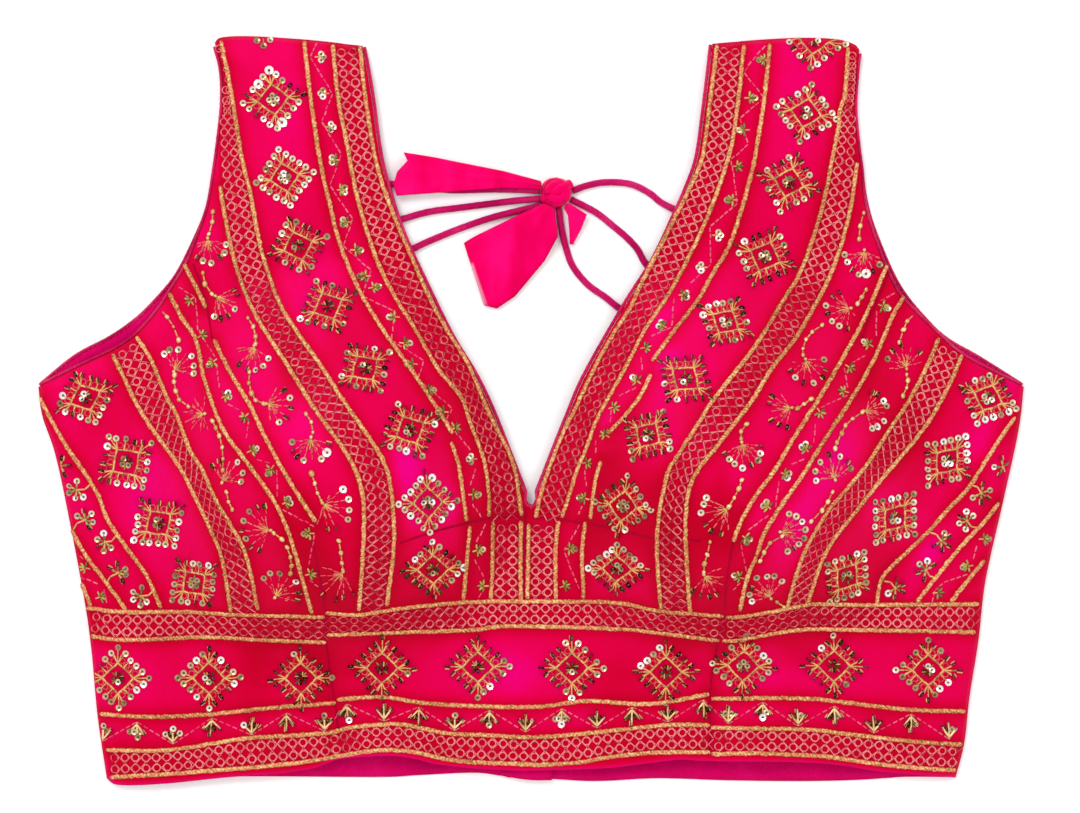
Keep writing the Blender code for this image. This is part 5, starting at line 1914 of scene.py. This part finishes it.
def make_diamonds(heaps):
    """A square of gold thread on its corner, with spokes that each end in a sequin."""
    between = np.array(((1, 1), (-1, 1), (-1, -1), (1, -1))) / math.sqrt(2)
    for diamond in DIAMONDS:
        for side in range(4):
            make_diamond_side(heaps, diamond, side)
        angles = np.radians(diamond.turn) + np.arange(4) * math.pi / 2
        heart = diamond_points(diamond, HEART_REACH * CORNERS)
        sew_sequins(heaps, heart, angles, diamond.heart, AT_HEART)
        corners = diamond_points(diamond, CORNER_REACH * between)
        size = rng.uniform(0.85, 1.15, (4, 1)) * (2.8, 0.9, 1.0)
        shades = rng.uniform(0, 0.8, 4)
        heaps["petals"].add(BALL, corners, angles + math.pi / 4, 0.5, size, shades)


def make_fans(heaps):
    """Fans of thin red thread on a gold foot, with a sequin at the end of each spoke."""
    gold, red, beads = heaps["gold"], heaps["red"], heaps["beads"]
    for fan in FANS:
        base = plan((fan.u, fan.v))[0]
        facing, spread = math.radians(fan.facing), math.radians(fan.spread)
        axis = rotated((1, 0), facing)
        count = len(fan.looks)
        turn = np.linspace(-spread, spread, count) + rng.normal(0, 0.04, count)
        step = headings(facing + turn)
        reach = fan.reach - 2.0 * np.abs(turn) / spread
        spokes = (reach * rng.uniform(0.94, 1.05, count))[:, None] * step
        for first, last in SPOKE_PARTS:
            start = base + rng.normal(0, 0.22, spokes.shape)
            red.strokes(
                start + first * spokes, start + last * spokes, rng.uniform(0.5, 0.75, count),
                rng.uniform(0, 1, count), RED_YARN,
            )
        # a thick heart of short stitches between the spokes
        count = HEART_STITCHES
        step = headings(facing + rng.normal(0, 0.5 * spread, count))
        first = base + rng.uniform(1.5, 5.5, (count, 1)) * step
        last = first + rng.uniform(1.2, 2.2, (count, 1)) * step
        red.strokes(first, last, 0.7, rng.uniform(0, 0.9, count), RED_YARN)
        sew_sequins(heaps, base + spokes, facing + turn, fan.looks, AT_FAN)
        for lean, length in FOOT_STITCHES:
            tip = base + length * rotated(axis, lean)
            gold.strokes(base, tip, 0.62, rng.uniform(0.2, 1), FINE_SPOKE)
        beads.add(BALL, base - 0.9 * axis, facing, 0.8, (2.2, 1.8, 1.6), rng.uniform(0.2, 0.8))


def make_chains(heaps):
    """Chains of beads with a gold stitch from each to the next."""
    for chain in CHAINS:
        route = plan(chain)
        count = len(route)
        angles = angle_of(np.gradient(route, axis=0)) + rng.normal(0, 0.3, count)
        size = rng.normal(1, 0.14, (count, 1)) * (2.9, 2.2, 1.8)
        heaps["beads"].add(BALL, route, angles, 0.8, size, rng.uniform(0.1, 1, count))
        bead = 0.24 * (route[1:] - route[:-1])
        shades = rng.uniform(0.3, 1, count - 1)
        heaps["gold"].strokes(route[:-1] + bead, route[1:] - bead, 0.7, shades, STEM)


def make_stitches(heaps):
    """Pink running stitches that zigzag down the channels."""
    for zigzag in ZIGZAGS:
        corners = plan(zigzag)
        for start, end in zip(corners, corners[1:]):
            count = max(1, round(np.linalg.norm(end - start) / PINK_PITCH))
            share = np.arange(count)[:, None] / count
            step = (end - start) / count
            first = start + share * (end - start) + 0.1 * step
            first = first + rng.normal(0, 0.12, (count, 2))
            heaps["pink"].strokes(
                first, first + 0.76 * step, rng.uniform(0.65, 0.9, count),
                rng.uniform(0, 1, count), PINK_YARN,
            )


def make_flowers(heaps):
    """Small flowers with a gold stem, five petals and a few sequins."""
    for flower in FLOWERS:
        centre = plan((flower.u, flower.v))[0]
        facing = math.radians(flower.facing)
        axis = rotated((1, 0), facing)
        count = len(flower.looks)
        stem = (-3.8, -1.2) if count < 2 else (-2.9, 0.3)
        root, top = (centre + reach * axis for reach in stem)
        heaps["gold"].strokes(root, top, 0.85, rng.uniform(0.3, 0.9), STEM)
        turn = facing + np.radians(PETAL_TURNS) + rng.normal(0, 0.08, 5)
        length = rng.uniform(2.8, 3.4, 5)
        middle = centre - 1.3 * axis + (0.3 + length / 2)[:, None] * headings(turn)
        size = np.column_stack([length, rng.uniform(1.1, 1.35, 5), np.full(5, PETAL_THICK)])
        if count < 3:
            heaps["petals"].add(BALL, middle, turn, 0.5, size, rng.uniform(0.2, 1.1, 5))
        if count:
            turn = facing + np.radians(FLOWER_TURNS[count])
            sew_sequins(heaps, centre + 1.5 * headings(turn), turn, flower.looks, AT_FLOWER)


def make_sprigs(heaps):
    """Curved sprigs: a bent gold stem with a sequin at the end of each short arm."""
    gold = heaps["gold"]
    for sprig in SPRIGS:
        heart, root = plan(((sprig.u, sprig.v), (sprig.root_u, sprig.root_v)))
        facing = angle_of(heart - root)
        bend = (root + heart) / 2 + 1.2 * rotated((0, 1), facing)
        gold.strokes((root, bend), (bend, heart), 0.9, rng.uniform(0.4, 1, 2), STEM)
        count = len(sprig.looks)
        turn = facing + np.linspace(-1.9, 1.9, count) + rng.normal(0, 0.08, count)
        arms = rng.uniform(3.9, 4.7, count)[:, None] * headings(turn)
        starts = np.tile(heart, (count, 1))
        gold.strokes(starts, heart + 0.8 * arms, 0.65, rng.uniform(0.3, 1, count), ARM)
        size = np.column_stack([
            rng.uniform(2.8, 3.4, count), rng.uniform(1.1, 1.4, count),
            np.full(count, PETAL_THICK),
        ])
        shades = rng.uniform(0.3, 1.2, count)
        heaps["petals"].add(BALL, heart + 0.52 * arms, turn, 0.55, size, shades)
        sew_sequins(heaps, heart + arms, turn, sprig.looks, AT_SPRIG)


def make_lotuses(heaps):
    """The hem's sprigs of three long petals, joined by stitches."""
    last = None
    for lotus in LOTUSES:
        base = plan((lotus.u, lotus.v))[0]
        axis = np.array([0.0, float(lotus.up)])
        facing = math.copysign(math.pi / 2, lotus.up)
        turn = facing + np.radians(LOTUS_TURNS) + rng.normal(0, 0.05, 5)
        arms = LOTUS_REACH * rng.uniform(0.94, 1.04, (5, 1)) * headings(turn)
        heart = base + 1.1 * axis
        sew_sequins(heaps, heart + 0.84 * arms, turn, lotus.looks, AT_LOTUS)
        # a petal reaches to a sequin that stands, and ends below one that lies
        stands = np.array([[letter == "d"] for letter in lotus.looks])
        tips = (heart + np.where(stands, 0.96, 0.6) * arms)[LOTUS_PETALS]
        count = len(tips)
        heaps["beads"].strokes(
            np.tile(heart, (count, 1)), tips, rng.uniform(1.0, 1.3, count),
            rng.uniform(0.4, 1.3, count), PETAL_YARN,
        )
        heaps["gold"].strokes(base, heart + 1.4 * axis, 1.3, rng.uniform(0.3, 0.8), STUB)
        if last is not None:
            count = max(2, round(np.linalg.norm(base - last) / HEM_PITCH))
            step = (base - last) / count
            line = last + (np.arange(count) / count)[:, None] * (base - last)
            shades = rng.uniform(0, 1, count)
            heaps["pink"].strokes(line + 0.1 * step, line + 0.8 * step, 0.75, shades, PINK_YARN)
        last = base


def make_embroidery():
    make_gold_lines()
    make_dart_crease_shade()
    make_ring_lace()
    heaps = {
        "sequins": Heap("sequins", SEQUIN), "knots": Heap("sequin_knots", KNOT_THREAD),
        "gold": Heap("gold_threads", GOLD_THREAD), "red": Heap("red_threads", RED),
        "pink": Heap("pink_stitches", PINK), "beads": Heap("gold_beads", BEAD),
        "petals": Heap("olive_petals", PETAL),
    }
    make_diamonds(heaps)
    make_fans(heaps)
    make_chains(heaps)
    make_stitches(heaps)
    make_flowers(heaps)
    make_sprigs(heaps)
    make_lotuses(heaps)
    for key, heap in heaps.items():
        heap.finish(key != "sequins")


def finish_hooks():
    for number in range(1, 5):
        hook = bpy.data.objects[f"hook_{number}"]
        hook.data.materials.clear()
        hook.data.materials.append(BRASS)


make_view()
make_light()
make_floor()
make_ties()
make_cloth()
make_embroidery()
finish_hooks()
